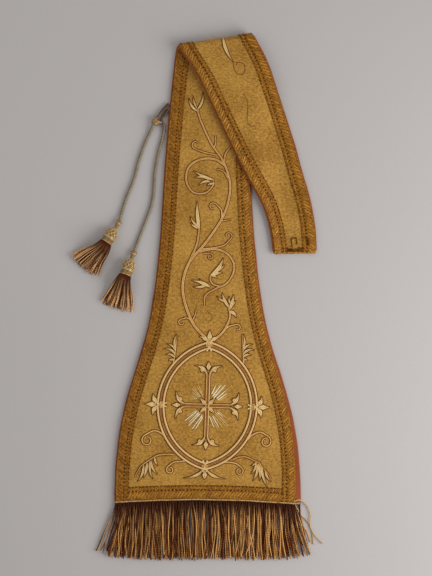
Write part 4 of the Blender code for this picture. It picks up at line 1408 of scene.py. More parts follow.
CORD_LOW = 0.0023
CORD_ROUTES: dict[str, tuple[Triple, ...]] = {
    "left": ((-0.0545, 0.2722, 0.003), (-0.0594, 0.2676, 0.0034), (-0.0645, 0.2612, 0.0042),
        (-0.0688, 0.2551, 0.0048), (-0.0728, 0.2484, 0.005), (-0.0773, 0.2412, 0.0044),
        (-0.081, 0.2328, 0.0028), (-0.0868, 0.2203, CORD_LOW), (-0.0914, 0.2083, CORD_LOW),
        (-0.096, 0.1953, CORD_LOW), (-0.0996, 0.1818, CORD_LOW), (-0.1028, 0.1693, CORD_LOW),
        (-0.1078, 0.1563, CORD_LOW), (-0.1135, 0.1423, CORD_LOW), (-0.1184, 0.1273, CORD_LOW),
        (-0.122, 0.1148, 0.0034)),
    "right": ((-0.0557, 0.264, 0.003), (-0.0584, 0.2598, 0.0034), (-0.0616, 0.2554, 0.0042),
        (-0.0648, 0.2512, 0.0048), (-0.064, 0.2462, 0.0048), (-0.0618, 0.243, 0.0038),
        (-0.0614, 0.2373, 0.0026), (-0.064, 0.2233, CORD_LOW), (-0.0682, 0.2083, CORD_LOW),
        (-0.0716, 0.1923, CORD_LOW), (-0.0742, 0.1763, CORD_LOW), (-0.0754, 0.1603, CORD_LOW),
        (-0.0766, 0.1443, CORD_LOW), (-0.0798, 0.1283, CORD_LOW), (-0.0856, 0.1123, CORD_LOW),
        (-0.0918, 0.0963, CORD_LOW), (-0.0972, 0.0823, CORD_LOW), (-0.1012, 0.0713, 0.0034))
}


@dataclass(frozen=True)
class Tassel:
    """One tassel that lies on the floor: a turned head under a net of gilt cord, and a fanned skirt."""

    which: str
    cord_end: Triple
    head_heading: float
    skirt_heading: float
    seed: int
    pitch: float = 12.4
    head: tuple[Pair, ...] = (
        (-0.0034, 0.0018), (-0.0026, 0.0036), (-0.0004, 0.0046), (0.002, 0.0038), (0.0036, 0.0028),
        (0.0052, 0.0025), (0.0085, 0.0027), (0.0112, 0.0037), (0.0138, 0.0062), (0.0165, 0.0076),
        (0.02, 0.0081), (0.0235, 0.0079), (0.025, 0.0087), (0.0268, 0.0087), (0.0282, 0.0075),
        (0.0318, 0.0082), (0.034, 0.0073), (0.0344, 0.005)
    )
    sides: int = 24
    net_start: float = 0.013
    net_end: float = 0.0245
    net_turns: int = 9
    net_sweep: float = 1.1
    net_radius: float = 0.00055
    rings: tuple[Pair, ...] = (
        (0.0104, 0.0008), (0.0128, 0.0007), (0.025, 0.0008), (0.0268, 0.0008), (0.0334, 0.0007)
    )
    ties: tuple[Pair, ...] = ((0.5, 0.0), (-0.6, 1.3), (0.1, 2.4))
    tie_radius: float = 0.001
    skirt_length: float = 0.049
    skirt_rows: tuple[tuple[float, float, int], ...] = (
        (-0.004, 0.001, 26), (-0.0018, 0.002, 32), (0.0006, 0.0034, 36), (0.003, 0.005, 34),
        (0.0054, 0.0068, 26)
    )
    skirt_half: float = 0.008
    skirt_spread: float = 2.9
    strand_radius: float = 0.00052

    def frame(self) -> Matrix:
        """The head's own axes: along it, across it and above it."""
        heading, pitch = direction(self.head_heading), math.radians(self.pitch)
        axis = Vector((*(heading * math.cos(pitch)), math.sin(pitch)))
        across = axis.cross(UP).normalized()
        made = Matrix((axis, across, across.cross(axis))).transposed().to_4x4()
        made.translation = self.cord_end
        return made

    def on_head(self, frame: Matrix, run: float, turn: float, proud: float = 0.0) -> Vector:
        """A point of the head's surface."""
        radius = smooth_value(self.head, run) + proud
        return frame @ Vector((run, radius * math.sin(turn), radius * math.cos(turn)))

    def build(self) -> list[Piece]:
        """The head, its net and the skirt, of which it gives the two that go with the cord."""
        frame = self.frame()
        pile = Pile()
        rings = [[self.on_head(frame, run, turn) for turn in angles(self.sides)] for run, _ in self.head]
        pile.loft(rings, [0.002 * k for k in range(self.sides + 1)], [run for run, _ in self.head])
        node = f"tassel_{self.which}"
        head = ridden(pile.built(f"{node}_head", TASSEL_GOLD, 80.0), TASSEL_GOLD, node)
        net = SWEPT.laid(f"{node}_net", self.net(frame), TASSEL_NET, 6)
        SWEPT.laid(f"{node}_skirt", self.skirt(frame), SKIRT, 5, node)
        return [head, net]

    def net(self, frame: Matrix) -> Guide:
        """Crossing cords over the head, rings round it, and a small knot where the cord ends."""
        guide, steps = Guide(self.seed), 10
        for k in range(self.net_turns):
            for hand in (1, -1):
                path = []
                for step in range(steps + 1):
                    t = step / steps
                    run = self.net_start + (self.net_end - self.net_start) * t
                    turn = k * FULL_TURN / self.net_turns + hand * self.net_sweep * t
                    path.append(self.on_head(frame, run, turn, 0.0003))
                guide.add(path, self.net_radius, shade=0.6)
        for run, thick in self.rings:
            guide.add([self.on_head(frame, run, turn) for turn in angles(20)], thick, closed=True, shade=0.7)
        for tilt, swing in self.ties:
            ring = []
            for t in angles(16):
                sway = 0.0006 + 0.0022 * math.sin(t + swing) * tilt
                ring.append(frame @ Vector((sway, 0.0035 * math.cos(t), 0.0033 * math.sin(t))))
            guide.add(ring, self.tie_radius, closed=True, shade=0.5)
        return guide

    def skirt(self, frame: Matrix) -> Guide:
        """The strands, in rows that leave the head and flatten as they fan out."""
        guide = Guide(self.seed + 1)
        draw = guide.random
        sweep = Vector((*direction(self.skirt_heading), 0.0))
        beside_it = sweep.cross(UP)
        straight = frame.to_3x3() @ Vector((1.0, 0.0, 0.0))
        for height, tip_z, count in self.skirt_rows:
            half = self.skirt_half * math.sqrt(max(0.1, 1 - (height / 0.0082) ** 2))
            for k in range(count):
                side = half * (2 * k / (count - 1) - 1) + draw.gauss(0.0, 0.0002)
                root = frame @ Vector((self.head[-1][0] - 0.0012, side, height))
                length = self.skirt_length - 60.0 * side * side + draw.uniform(-0.006, 0.0015)
                stray = draw.gauss(0.0, 0.0016)
                tip = root + sweep * length + beside_it * (side * (self.skirt_spread - 1) + stray)
                tip.z = tip_z + draw.uniform(0.0, 0.0006)
                bend = root + (tip - root) * 0.6 + beside_it * draw.gauss(0.0, 0.0009)
                bend.z = tip_z + (root.z - tip_z) * 0.3 + draw.uniform(0.0, 0.0008)
                flare = 0.2 * (self.skirt_spread - 1) * side * beside_it
                path = curve_through([root, root + straight * length * 0.22 + flare, bend, tip], 4)
                for point in path:
                    point.z = max(point.z, self.strand_radius + 0.0003)
                guide.add(path, self.strand_radius * draw.uniform(0.85, 1.15))
        return guide


@dataclass(frozen=True)
class TiedCord:
    """The doubled cord, its knot and its two tassels."""

    radius: float = 0.0022
    plies: int = 3
    ply_depth: float = 0.07
    ply_pitch: float = 0.012
    sides: int = 18
    ring_step: float = 0.0007
    knot: Triple = (-0.072, 0.2473, 0.005)
    knot_heading: float = 48.0
    knot_turns: float = 3.2
    knot_steps: int = 64
    knot_run: float = 0.0058
    knot_half: Pair = (0.0036, 0.0026)
    turn_radius: float = 0.00165
    bight_half: Pair = (0.0056, 0.003)
    bight_radius: float = 0.0015
    tassels: tuple[Tassel, ...] = (
        Tassel("left", (-0.1245, 0.1063, 0.0043), -122.0, -134.0, 21),
        Tassel("right", (-0.1037, 0.0638, 0.0043), -110.0, -106.0, 22)
    )

    def build(self) -> None:
        """Both cords with what is on them."""
        knot = SWEPT.laid("cord_knot_turns", self.tie(), KNOT, 10, "cord_knot")
        for tassel in self.tassels:
            pieces = tassel.build()
            route = CORD_ROUTES[tassel.which]
            name = f"cord_{tassel.which}"
            end = Vector(tassel.cord_end)
            end -= FORM.gap * Vector((*direction(tassel.head_heading), 0.0))
            path = curve_through([Vector(point) for point in (*route, tuple(end))], 4)
            cord = ridden(self.twisted(name, path), CORD, f"{name}_above_knot", f"{name}_below_knot")
            length_of(path)
            [tuple(point) for point in path]
            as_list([*pieces, knot] if tassel.which == "left" else pieces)

    def twisted(self, name: str, path: Path) -> Piece:
        """A cord whose lobed section turns as it runs, so that its plies are real ridges."""
        rings, runs = [], []
        count = round(length_of(path) / self.ring_step)
        lengths = [0.0]
        for a, b in zip(path, path[1:]):
            lengths.append(lengths[-1] + (b - a).length)
        for k in range(count + 1):
            run = lengths[-1] * k / count
            i = max(j for j in range(len(lengths) - 1) if lengths[j] <= run + 1e-12)
            t = (run - lengths[i]) / (lengths[i + 1] - lengths[i])
            point = path[i].lerp(path[i + 1], t)
            onward = (path[i + 1] - path[i]).normalized()
            before = (path[i] - path[i - 1]).normalized() if i else onward
            onward = before.lerp(onward, 0.5 + 0.5 * t).normalized()
            side = onward.cross(UP).normalized()
            above = side.cross(onward)
            ring = []
            for angle in angles(self.sides):
                turned = angle + FULL_TURN * run / self.ply_pitch / self.plies
                lobe = abs(math.cos(self.plies / 2 * turned))
                radius = self.radius * (1 - self.ply_depth * (1 - lobe))
                ring.append(point + radius * (math.cos(angle) * side + math.sin(angle) * above))
            rings.append(ring)
            runs.append(run)
        pile = Pile()
        pile.loft(rings, [FULL_TURN * self.radius * j / self.sides for j in range(self.sides + 1)], runs)
        made = pile.built(name, CORD, 180.0)
        self.mark(made, runs)
        return made

    def mark(self, cord: Piece, runs: Sequence[float]) -> None:
        """Store what the twisted finish reads: the way round, the run and the shade."""
        mesh = cord.data
        ring = [part for angle in angles(self.sides) for part in (math.cos(angle), math.sin(angle), 0.0)]
        along = [run for run in runs for _ in range(self.sides)]
        store(mesh, "wrap", ring * len(runs), "vector")
        store(mesh, "run", along)
        store(mesh, "shade", [0.5] * len(along))

    def tie(self) -> Guide:
        """The knot: turns drawn tight round both cords, and two bights across them."""
        guide = Guide(31)
        centre = Vector(self.knot)
        axis = Vector((*direction(self.knot_heading), 0.0))
        across = Vector((*direction(self.knot_heading + 90.0), 0.0))
        wide, high = self.knot_half
        wraps = []
        for k in range(self.knot_steps + 1):
            t = k / self.knot_steps
            angle = FULL_TURN * self.knot_turns * t
            along = self.knot_run * (t - 0.5) * 1.5
            bulge = 1.0 + 0.25 * math.sin(math.pi * t)
            turned = centre + along * axis + wide * bulge * math.cos(angle) * across
            wraps.append(turned + high * bulge * math.sin(angle) * UP)
        guide.add(wraps, self.turn_radius, shade=0.6)
        wide, high = self.bight_half
        for lean, shift in ((0.9, 0.0012), (-0.9, -0.0012)):
            onward = (axis * math.cos(lean) + across * math.sin(lean)).normalized()
            bight = []
            for k in range(25):
                angle = FULL_TURN * k / 24
                looped = centre + shift * across + wide * math.cos(angle) * onward
                bight.append(looped + UP * (high * math.sin(angle) + 0.0004))
            guide.add(bight, self.bight_radius, shade=0.75)
        return guide


# ---- raised embroidery


@dataclass(frozen=True)
class Line:
    """A couched line through a few turning points (x, up), which may end in a curl.

    `curl` holds the curl's length and the degrees that it turns to the left by.
    """

    turns: tuple[Pair, ...]
    widths: Pair
    curl: Pair = (0.0, 0.0)

    def path(self) -> list[Vector]:
        """The line's points."""
        found = curve_through([Vector(turn) for turn in self.turns], 8)
        length, turn = self.curl
        if length:
            onward = found[-1] - found[-2]
            heading = math.degrees(math.atan2(onward.y, onward.x))
            found += wind(found[-1], heading, length, turn, 14, 1.25)[1:]
        return found


class Shape(Enum):
    """How wide a leaf is along its length."""

    LEAF = "leaf"
    KITE = "kite"
    HEART = "heart"

    def width(self, t: float) -> float:
        """The share of the full width at a share of the length."""
        if self is Shape.LEAF:
            return math.sin(math.pi * (0.06 + 0.94 * t) ** 0.72)
        if self is Shape.KITE:
            return max(0.05, min((t + 0.1) / 0.48, (1.0 - t) / 0.62))
        return 0.05 + 0.38 * (1 - t**4) + 0.57 * math.exp(-(((t - 0.46) / 0.2) ** 2))


@dataclass(frozen=True)
class Leaf:
    """A pointed satin leaf from its root to its tip, bowed to its left where bow is over 0."""

    STEPS: ClassVar[int] = 12
    root: Pair
    tip: Pair
    width: float
    bow: float = 0.0
    shape: Shape = Shape.LEAF

    def path(self) -> list[Vector]:
        """The points of its midrib."""
        root, tip = Vector(self.root), Vector(self.tip)
        span = tip - root
        bend = (root + tip) / 2 + 2 * self.bow * leftward(span)
        found = []
        for k in range(self.STEPS + 1):
            t = k / self.STEPS
            found.append((1 - t) ** 2 * root + 2 * t * (1 - t) * bend + t * t * tip)
        return found

    def widths(self) -> list[float]:
        """Its width at each point."""
        return [self.width * self.shape.width(k / self.STEPS) for k in range(self.STEPS + 1)]


def leaves_of(*rows: Sequence[float]) -> tuple[Leaf, ...]:
    """Plain leaves from rows of root x, root up, tip x, tip up, width and bow."""
    return tuple(Leaf(row[:2], row[2:4], *row[4:]) for row in rows)


@dataclass(frozen=True)
class TrefoilEnd:
    """The sizes of a bud between two side leaves."""

    bud: float
    bud_width: float
    side: float
    side_width: float
    start: float
    spread: float
    back: float
    apart: float
    boss: float = 0.0


class Needlework:
    """The embroidery of one node: satin over padding, couched cords and the dark silk round them."""

    DOME = ((1.0, 0.0), (0.86, 0.62), (0.5, 0.95), (0.0, 1.0), (-0.5, 0.95), (-0.86, 0.62), (-1.0, 0.0))
    VEINED = (
        (1.0, 0.0), (0.86, 0.6), (0.5, 1.0), (0.14, 0.8), (0.0, 0.5), (-0.14, 0.8), (-0.5, 1.0),
        (-0.86, 0.6), (-1.0, 0.0)
    )
    SUNK = -0.0001
    SILK_OUT = 0.0003
    SILK_RADIUS = 0.0006
    PAIRED_FROM = 0.0027
    BUD_HEIGHT = 0.0028
    HEART_HEIGHT = 0.0022
    BOSS_HEIGHT = 0.003

    def __init__(self, node: str, seed: int, half: Half = Half.FRONT) -> None:
        """Start with nothing sewn."""
        self.node = node
        self.half = half
        self.seed = seed
        self.satin: dict[Finish, Pile] = {}
        self.cords: dict[Finish, Guide] = {}

    def above(self, spot: Vector, out: float) -> Vector:
        """The point above a place on the cloth."""
        return FORM.on_cloth(self.half, spot, out)[0]

    def band(
        self, path: Path, widths: Sequence[float], height: float, finish: Finish,
        profile: Sequence[Pair] = DOME
    ) -> None:
        """Add a raised band.

        Args:
            path: its middle line.
            widths: its width at each point.
            height: how high it stands.
            finish: what it is made of.
            profile: shares of its half width and height.
        """
        rings, runs, last = [], [0.0], len(path) - 1
        for k, (point, width) in enumerate(zip(path, widths)):
            side = leftward(onward_at(path, k)) * max(width, 0.0003) / 2
            high = height * min(1.0, 0.35 + width / 0.003)
            rings.append(
                [self.above(point + share * side, self.SUNK + rise * high) for share, rise in profile]
            )
            runs.append(runs[-1] + (path[min(k + 1, last)] - point).length)
        spread = [share * RIM for share, _ in profile]
        self.satin.setdefault(finish, Pile()).loft(rings, [*spread, spread[0]], runs[: len(path)])

    def cord(
        self, path: Path, radius: float | Sequence[float], finish: Finish, lift: float = 0.4,
        closed: bool = False, shade: float | None = None
    ) -> None:
        """Add a couched cord, its middle a share of its radius above the cloth."""
        radii = [radius] * len(path) if isinstance(radius, float) else radius
        points = [self.above(point, lift * size) for point, size in zip(path, radii)]
        self.cords.setdefault(finish, Guide(self.seed)).add(points, radii, closed, shade=shade)

    def couched(self, line: Line) -> None:
        """Add a line as one copper cord or a pair of them, with dark silk on both sides."""
        path = line.path()
        start, end = line.widths
        widths = evenly(start, end, len(path) - 1)
        if start > self.PAIRED_FROM:
            for hand in (1, -1):
                pair = beside(path, [hand * width / 4 for width in widths])
                self.cord(pair, [0.27 * width for width in widths], COPPER_CORD, 0.75)
        else:
            self.cord(path, [0.5 * width for width in widths], COPPER_CORD, 0.5)
        for hand in (1, -1):
            edge = beside(path, [hand * (width / 2 + self.SILK_OUT) for width in widths])
            self.cord(edge, 0.00058, OUTLINE_SILK, 0.35)

    def filled(self, path: Path, widths: Sequence[float], finish: Finish, height: float) -> None:
        """Add a satin shape with a sunk midrib, and the dark silk round it."""
        self.band(path, widths, height, finish, self.VEINED)
        edge = beside(path, [width / 2 + self.SILK_OUT for width in widths])
        edge += reversed(beside(path, [-width / 2 - self.SILK_OUT for width in widths]))
        self.cord(edge, self.SILK_RADIUS, OUTLINE_SILK, 0.45, closed=True)

    def leaf(self, row: Leaf, finish: Finish, height: float = 0.002) -> None:
        """Add a leaf."""
        self.filled(row.path(), row.widths(), finish, height)

    def trefoil(self, base: Vector, heading: float, end: TrefoilEnd, finish: Finish) -> None:
        """Add a diamond bud between two heart-shaped leaves that turn aside."""
        tip = base + end.bud * direction(heading)
        self.leaf(Leaf(tuple(base), tuple(tip), end.bud_width, 0.0, Shape.KITE), finish, self.BUD_HEIGHT)
        for hand in (1, -1):
            root = base - end.back * direction(heading) + end.apart * direction(heading + 90.0 * hand)
            turn = hand * (end.spread - end.start) * 1.5
            path = wind(root, heading + hand * end.start, end.side, turn, 16, 0.8)
            widths = [end.side_width * Shape.HEART.width(k / 16) for k in range(17)]
            self.filled(path, widths, finish, self.HEART_HEIGHT)
            if end.boss:
                onward = (path[8] - path[6]).normalized()
                middle = path[7] + 0.55 * end.boss * hand * leftward(onward)
                ends = (tuple(middle - 0.55 * end.boss * onward), tuple(middle + 0.6 * end.boss * onward))
                self.leaf(Leaf(*ends, end.boss), finish, self.BOSS_HEIGHT)

    def build(self, stands_for: bool = True) -> list[Piece]:
        """Everything sewn so far.

        Args:
            stands_for: whether its first piece stands for the node.

        Returns:
            The pieces made.
        """
        made = []
        for finish, pile in self.satin.items():
            made.append((pile.built(f"{self.node}_{finish.name}", finish, 70.0), finish))
        for finish, guide in self.cords.items():
            made.append((SWEPT.grown(f"{self.node}_{finish.name}", guide, finish, Sides=6), finish))
        nodes = [self.node] if stands_for else []
        for piece, finish in made:
            ridden(piece, finish, *nodes)
            nodes = []
        return [piece for piece, _ in made]


@dataclass(frozen=True)
class Medallion:
    """The pointed oval of two rails, its four clasps and its tendrils, and the cross inside."""

    heart: Pair = (0.001, 0.1388)
    tilt: float = -1.6
    half_width: float = 0.065
    half_height: float = 0.0845
    rail_at: float = 0.004
    rail_width: float = 0.0033
    rail_height: float = 0.0023
    arc_steps: int = 60
    web_width: float = 0.0042
    web_height: float = 0.00075
    tie_reach: Pair = (-0.0085, 0.0075)
    tie_half: float = 0.003
    tie_width: float = 0.0026
    tie_edge: float = 0.00155
    wraps: Pair = (-0.0015, 0.0005)
    wrap_half: float = 0.0046
    wrap_radius: float = 0.00085
    bud_out: float = 0.0062
    dash: Stitch = Stitch(0.0042, 0.0026, 0.0007, 0.0006, uneven=0.15)
    clasps: tuple[tuple[float, TrefoilEnd], ...] = (
        (0.0, TrefoilEnd(0.016, 0.0084, 0.0165, 0.007, 16.0, 70.0, 0.003, 0.002)),
        (90.0, TrefoilEnd(0.015, 0.008, 0.0165, 0.006, 16.0, 66.0, 0.003, 0.0018)),
        (180.0, TrefoilEnd(0.016, 0.0084, 0.0165, 0.007, 16.0, 70.0, 0.003, 0.002)),
        (270.0, TrefoilEnd(0.016, 0.0076, 0.033, 0.0056, 30.0, 66.0, 0.003, 0.0016))
    )
    cross_end: TrefoilEnd = TrefoilEnd(0.0122, 0.0074, 0.0225, 0.0056, 14.0, 64.0, 0.006, 0.002, 0.005)
    arm_across: float = 0.05
    arm_up: float = 0.062
    arm_width: float = 0.0032
    arm_height: float = 0.0007
    bar_at: float = 0.0021
    bar_radius: float = 0.00095
    silk_at: tuple[float, ...] = (0.0034, -0.0034, 0.0009, -0.0009)
    silk_radius: float = 0.00036
    petal: Pair = (0.001, 0.016)
    petal_width: float = 0.006
    ray_start: float = 0.0125
    ray_half: float = 0.006
    ray_spread: float = 1.55
    rays: tuple[tuple[float, float, int, float, Finish], ...] = (
        (49.0, 0.04, 5, 0.00074, SILVER_STRIP), (230.0, 0.044, 5, 0.00066, SILVER_STRIP),
        (-56.0, 0.042, 3, 0.00058, SILVER_STRIP), (-47.0, 0.045, 5, 0.00044, GOLD_STRIP),
        (134.0, 0.035, 7, 0.00044, GOLD_STRIP), (46.0, 0.045, 4, 0.0004, GOLD_STRIP),
        (224.0, 0.038, 4, 0.0004, GOLD_STRIP)
    )
    tendrils: tuple[Line, ...] = (
        Line(((-0.056, 0.092), (-0.062, 0.1), (-0.073, 0.104), (-0.084, 0.099)), (0.0026, 0.0018),
            (0.038, 330.0)),
        Line(((0.058, 0.092), (0.064, 0.098), (0.075, 0.102), (0.085, 0.097)), (0.0026, 0.0018),
            (0.038, -330.0)),
        Line(((-0.029, 0.062), (-0.036, 0.061), (-0.045, 0.06), (-0.052, 0.055)), (0.0024, 0.0016),
            (0.026, 320.0)),
        Line(((0.025, 0.06), (0.033, 0.06), (0.042, 0.058), (0.049, 0.053)), (0.0024, 0.0016),
            (0.026, -320.0))
    )

    def spot(self, x: float, y: float) -> Vector:
        """A place on the cloth, from one about the medallion's own middle and axes."""
        turned = Matrix.Rotation(math.radians(self.tilt), 2) @ Vector((x, y))
        return Vector(self.heart) + turned

    def out(self, heading: float, reach: float, aside: float = 0.0) -> Vector:
        """The place so far out at a heading, and so far to the left of it."""
        return self.spot(*(reach * direction(heading) + aside * direction(heading + 90.0)))

    def arc(self, side: Side, offset: float) -> list[Vector]:
        """One arc of the oval, moved out by an offset, from its bottom point to its top."""
        radius = (self.half_width**2 + self.half_height**2) / (2 * self.half_width)
        middle = self.half_width - radius
        reach = radius + offset
        sweep = math.degrees(math.acos(max(-1.0, min(1.0, -middle / reach))))
        found = []
        for k in range(self.arc_steps + 1):
            spoke = reach * direction(sweep * (2 * k / self.arc_steps - 1))
            found.append(self.spot(side.value * (middle + spoke.x), spoke.y))
        return found

    def build(self) -> list[Piece]:
        """The medallion and the cross."""
        work = Needlework("medallion", 41)
        dashes = Guide(42)
        for side in Side:
            line = self.arc(side, 0.0)
            count = len(line)
            work.band(line, [self.web_width] * count, self.web_height, COPPER_SATIN)
            for offset in (self.rail_at, -self.rail_at):
                work.band(self.arc(side, offset), [self.rail_width] * count, self.rail_height, DULL_SATIN)
                for edge in (1, -1):
                    silk_at = offset + edge * (self.rail_width / 2 + 0.00035)
                    work.cord(self.arc(side, silk_at), 0.00062, OUTLINE_SILK, 0.45)
            spots = [FORM.on_cloth(Half.FRONT, spot, 0.00045) for spot in line]
            dashes.add_spots(spots)
        self.add_clasps(work)
        for row in self.tendrils:
            work.couched(row)
        pieces = work.build()
        return [*pieces, self.dash.laid("medallion_dashes", dashes, BRAID_DARK, 42), *self.cross()]

    def add_clasps(self, work: Needlework) -> None:
        """The four ties over the rails, each a crossed wrap under a bud and two leaves."""
        for heading, end in self.clasps:
            reach = self.half_height if heading % 180.0 else self.half_width
            for hand in (1, -1):
                start = self.out(heading, reach + self.tie_reach[0], -self.tie_half * hand)
                stop = self.out(heading, reach + self.tie_reach[1], self.tie_half * hand)
                path = [start.lerp(stop, k / 8) for k in range(9)]
                work.band(path, [self.tie_width] * 9, 0.0022 - 0.0003 * hand, PALE_SATIN)
                for edge in (self.tie_edge, -self.tie_edge):
                    work.cord(beside(path, edge), 0.0004, OUTLINE_SILK, 1.6)
            for run in self.wraps:
                across = [self.out(heading, reach + run, self.wrap_half * (k / 4 - 1)) for k in range(9)]
                work.cord(across, self.wrap_radius, COPPER_CORD, 2.6)
            work.trefoil(self.out(heading, reach + self.bud_out), heading + self.tilt, end, PALE_SATIN)

    def cross(self) -> list[Piece]:
        """The cross, its petals and the bundles of rays between its arms."""
        work = Needlework("cross", 51)
        arms = {0.0: self.arm_across, 90.0: self.arm_up, 180.0: self.arm_across, 270.0: self.arm_up}
        for heading, arm in arms.items():
            reach = arm - self.cross_end.bud - self.cross_end.back
            line = [self.out(heading, reach * k / 16) for k in range(17)]
            lift = 0.00005 if heading % 180.0 else 0.0
            work.band(line, [self.arm_width] * 17, self.arm_height + lift, COPPER_SATIN)
            for side in (self.bar_at, -self.bar_at):
                work.cord(beside(line, side), self.bar_radius, COPPER_CORD, 0.7)
            for side in self.silk_at:
                work.cord(beside(line, side), self.silk_radius, OUTLINE_SILK, 1.2)
        for heading, arm in arms.items():
            base = self.out(heading, arm - self.cross_end.bud)
            work.trefoil(base, heading + self.tilt, self.cross_end, PALE_SATIN)
            root, tip = (self.out(heading + 45.0, reach) for reach in self.petal)
            work.leaf(Leaf(tuple(root), tuple(tip), self.petal_width, 0.0, Shape.KITE), PALE_SATIN, 0.0032)
        for heading, reach, count, radius, finish in self.rays:
            self.add_rays(work, heading, reach, count, radius, finish)
        return work.build()

    def add_rays(
        self, work: Needlework, heading: float, reach: float, count: int, radius: float, finish: Finish
    ) -> None:
        """A bundle of metal strips laid side by side with cloth between them, fanning a little."""
        draw = random.Random(round(heading * 10))
        for k in range(count):
            share = 2 * (k + draw.uniform(-0.25, 0.25)) / (count - 1) - 1
            begin = self.ray_start * (1.0 + 0.3 * draw.random() + 0.15 * abs(share))
            stop = reach * (1 - 0.16 * share * share - 0.22 * draw.random())
            start = self.out(heading, begin, self.ray_half * share)
            end = self.out(heading, stop, self.ray_half * self.ray_spread * share)
            path = [start.lerp(end, j / 8) for j in range(9)]
            radii = [radius * (1.2 - 0.45 * j / 8) for j in range(9)]
            work.cord(path, radii, finish, 0.9)


@dataclass(frozen=True)
class Vine:
    """The winding stem that climbs from the medallion, with its spirals, curls and leaves."""

    thick: tuple[Line, ...] = (
        Line(((0.0035, 0.228), (-0.02, 0.2545), (-0.034, 0.298), (-0.0265, 0.336), (0.0, 0.369),
            (0.023, 0.405), (0.032, 0.443), (0.023, 0.477), (0.004, 0.505), (-0.012, 0.537),
            (-0.0175, 0.553)), (0.004, 0.0024)),
        Line(((0.009, 0.23), (0.0225, 0.242), (0.032, 0.262), (0.029, 0.28)), (0.0034, 0.0024)),
        Line(((-0.011, 0.354), (0.01, 0.3575), (0.029, 0.35), (0.038, 0.332), (0.029, 0.311),
            (0.011, 0.3015), (-0.0025, 0.292), (-0.0035, 0.278)), (0.0034, 0.0018)),
        Line(((0.025, 0.4735), (0.01, 0.4825), (-0.01, 0.4825), (-0.026, 0.472), (-0.0295, 0.453),
            (-0.02, 0.437), (-0.003, 0.4355), (0.008, 0.446), (0.0085, 0.4545)), (0.0034, 0.0018)),
        Line(((-0.0245, 0.3405), (-0.0145, 0.364), (-0.011, 0.386)), (0.003, 0.0022)),
        Line(((0.023, 0.4795), (0.0245, 0.49), (0.031, 0.5)), (0.0028, 0.0018))
    )
    thin: tuple[Line, ...] = (
        Line(((0.02, 0.24), (0.03, 0.249), (0.04, 0.252)), (0.0022, 0.0014), (0.016, -230.0)),
        Line(((-0.02, 0.255), (-0.027, 0.261), (-0.035, 0.26)), (0.0022, 0.0014), (0.018, 260.0)),
        Line(((-0.0195, 0.259), (-0.0165, 0.266), (-0.015, 0.273)), (0.0018, 0.0012)),
        Line(((0.019, 0.305), (0.008, 0.3085), (0.004, 0.317), (0.009, 0.3255)), (0.0026, 0.0018)),
        Line(((-0.007, 0.3575), (0.011, 0.3595), (0.024, 0.363), (0.0325, 0.371)), (0.0022, 0.0014),
            (0.02, 250.0)),
        Line(((-0.005, 0.3515), (0.003, 0.3515)), (0.002, 0.0014), (0.019, -290.0)),
        Line(((0.0205, 0.402), (0.0195, 0.412), (0.013, 0.4195)), (0.0024, 0.0014), (0.02, 250.0)),
        Line(((0.0205, 0.3965), (0.033, 0.3985)), (0.0018, 0.0012)),
        Line(((0.0285, 0.456), (0.024, 0.464), (0.0184, 0.4677), (0.0124, 0.4681)), (0.0024, 0.0014)),
        Line(((0.009, 0.5), (0.0105, 0.508), (0.0095, 0.516)), (0.0018, 0.0012)),
        Line(((0.011, 0.4885), (-0.006, 0.4925), (-0.018, 0.497)), (0.0022, 0.0014), (0.02, -230.0))
    )
    leaves: tuple[Leaf, ...] = leaves_of(
        (0.03, 0.2765, 0.0212, 0.2965, 0.0046, 0.06), (0.0262, 0.284, 0.0137, 0.2915, 0.0032, 0.1),
        (0.0315, 0.2735, 0.037, 0.294, 0.005, -0.04), (0.033, 0.2775, 0.0388, 0.2855, 0.0032, -0.1),
        (0.0322, 0.281, 0.0307, 0.2912, 0.0028, 0.06), (0.0312, 0.2705, 0.041, 0.2615, 0.005, 0.14),
        (0.004, 0.3044, -0.0215, 0.3135, 0.0052, -0.06), (-0.0025, 0.3062, -0.0192, 0.3046, 0.004, 0.06),
        (0.0006, 0.3075, -0.0112, 0.3162, 0.0015, 0.1), (0.005, 0.3205, 0.0222, 0.345, 0.006, -0.1),
        (0.0098, 0.3265, 0.0243, 0.3353, 0.0042, -0.08), (0.0046, 0.3208, 0.0214, 0.324, 0.005, 0.06),
        (0.0058, 0.3205, 0.014, 0.3166, 0.0038, 0.12), (-0.0112, 0.3855, -0.0139, 0.424, 0.0056, 0.03),
        (-0.0116, 0.3885, -0.0235, 0.403, 0.0036, 0.1), (-0.0116, 0.3868, -0.023, 0.394, 0.0036, 0.12),
        (0.0087, 0.454, -0.0195, 0.4666, 0.0046, 0.05), (0.002, 0.4562, -0.0182, 0.4574, 0.0036, -0.05),
        (0.0042, 0.4512, -0.0118, 0.4462, 0.0036, -0.16), (0.01, 0.4485, -0.0006, 0.4455, 0.0034, -0.12)
    )
    prongs: tuple[Leaf, ...] = leaves_of(
        (-0.0175, 0.55, -0.03, 0.568, 0.0034, 0.12), (-0.018, 0.554, -0.024, 0.57, 0.0026, 0.08),
        (-0.0172, 0.552, -0.011, 0.576, 0.0036, -0.12)
    )

    prong_height: float = 0.0014

    def build(self) -> list[Piece]:
        """The vine as one node's embroidery."""
        work = Needlework("vine", 61)
        for leaf in self.leaves:
            work.leaf(leaf, PALE_SATIN)
        for prong in self.prongs:
            work.leaf(prong, PALE_SATIN, self.prong_height)
        for line in (*self.thick, *self.thin):
            work.couched(line)
        return work.build()


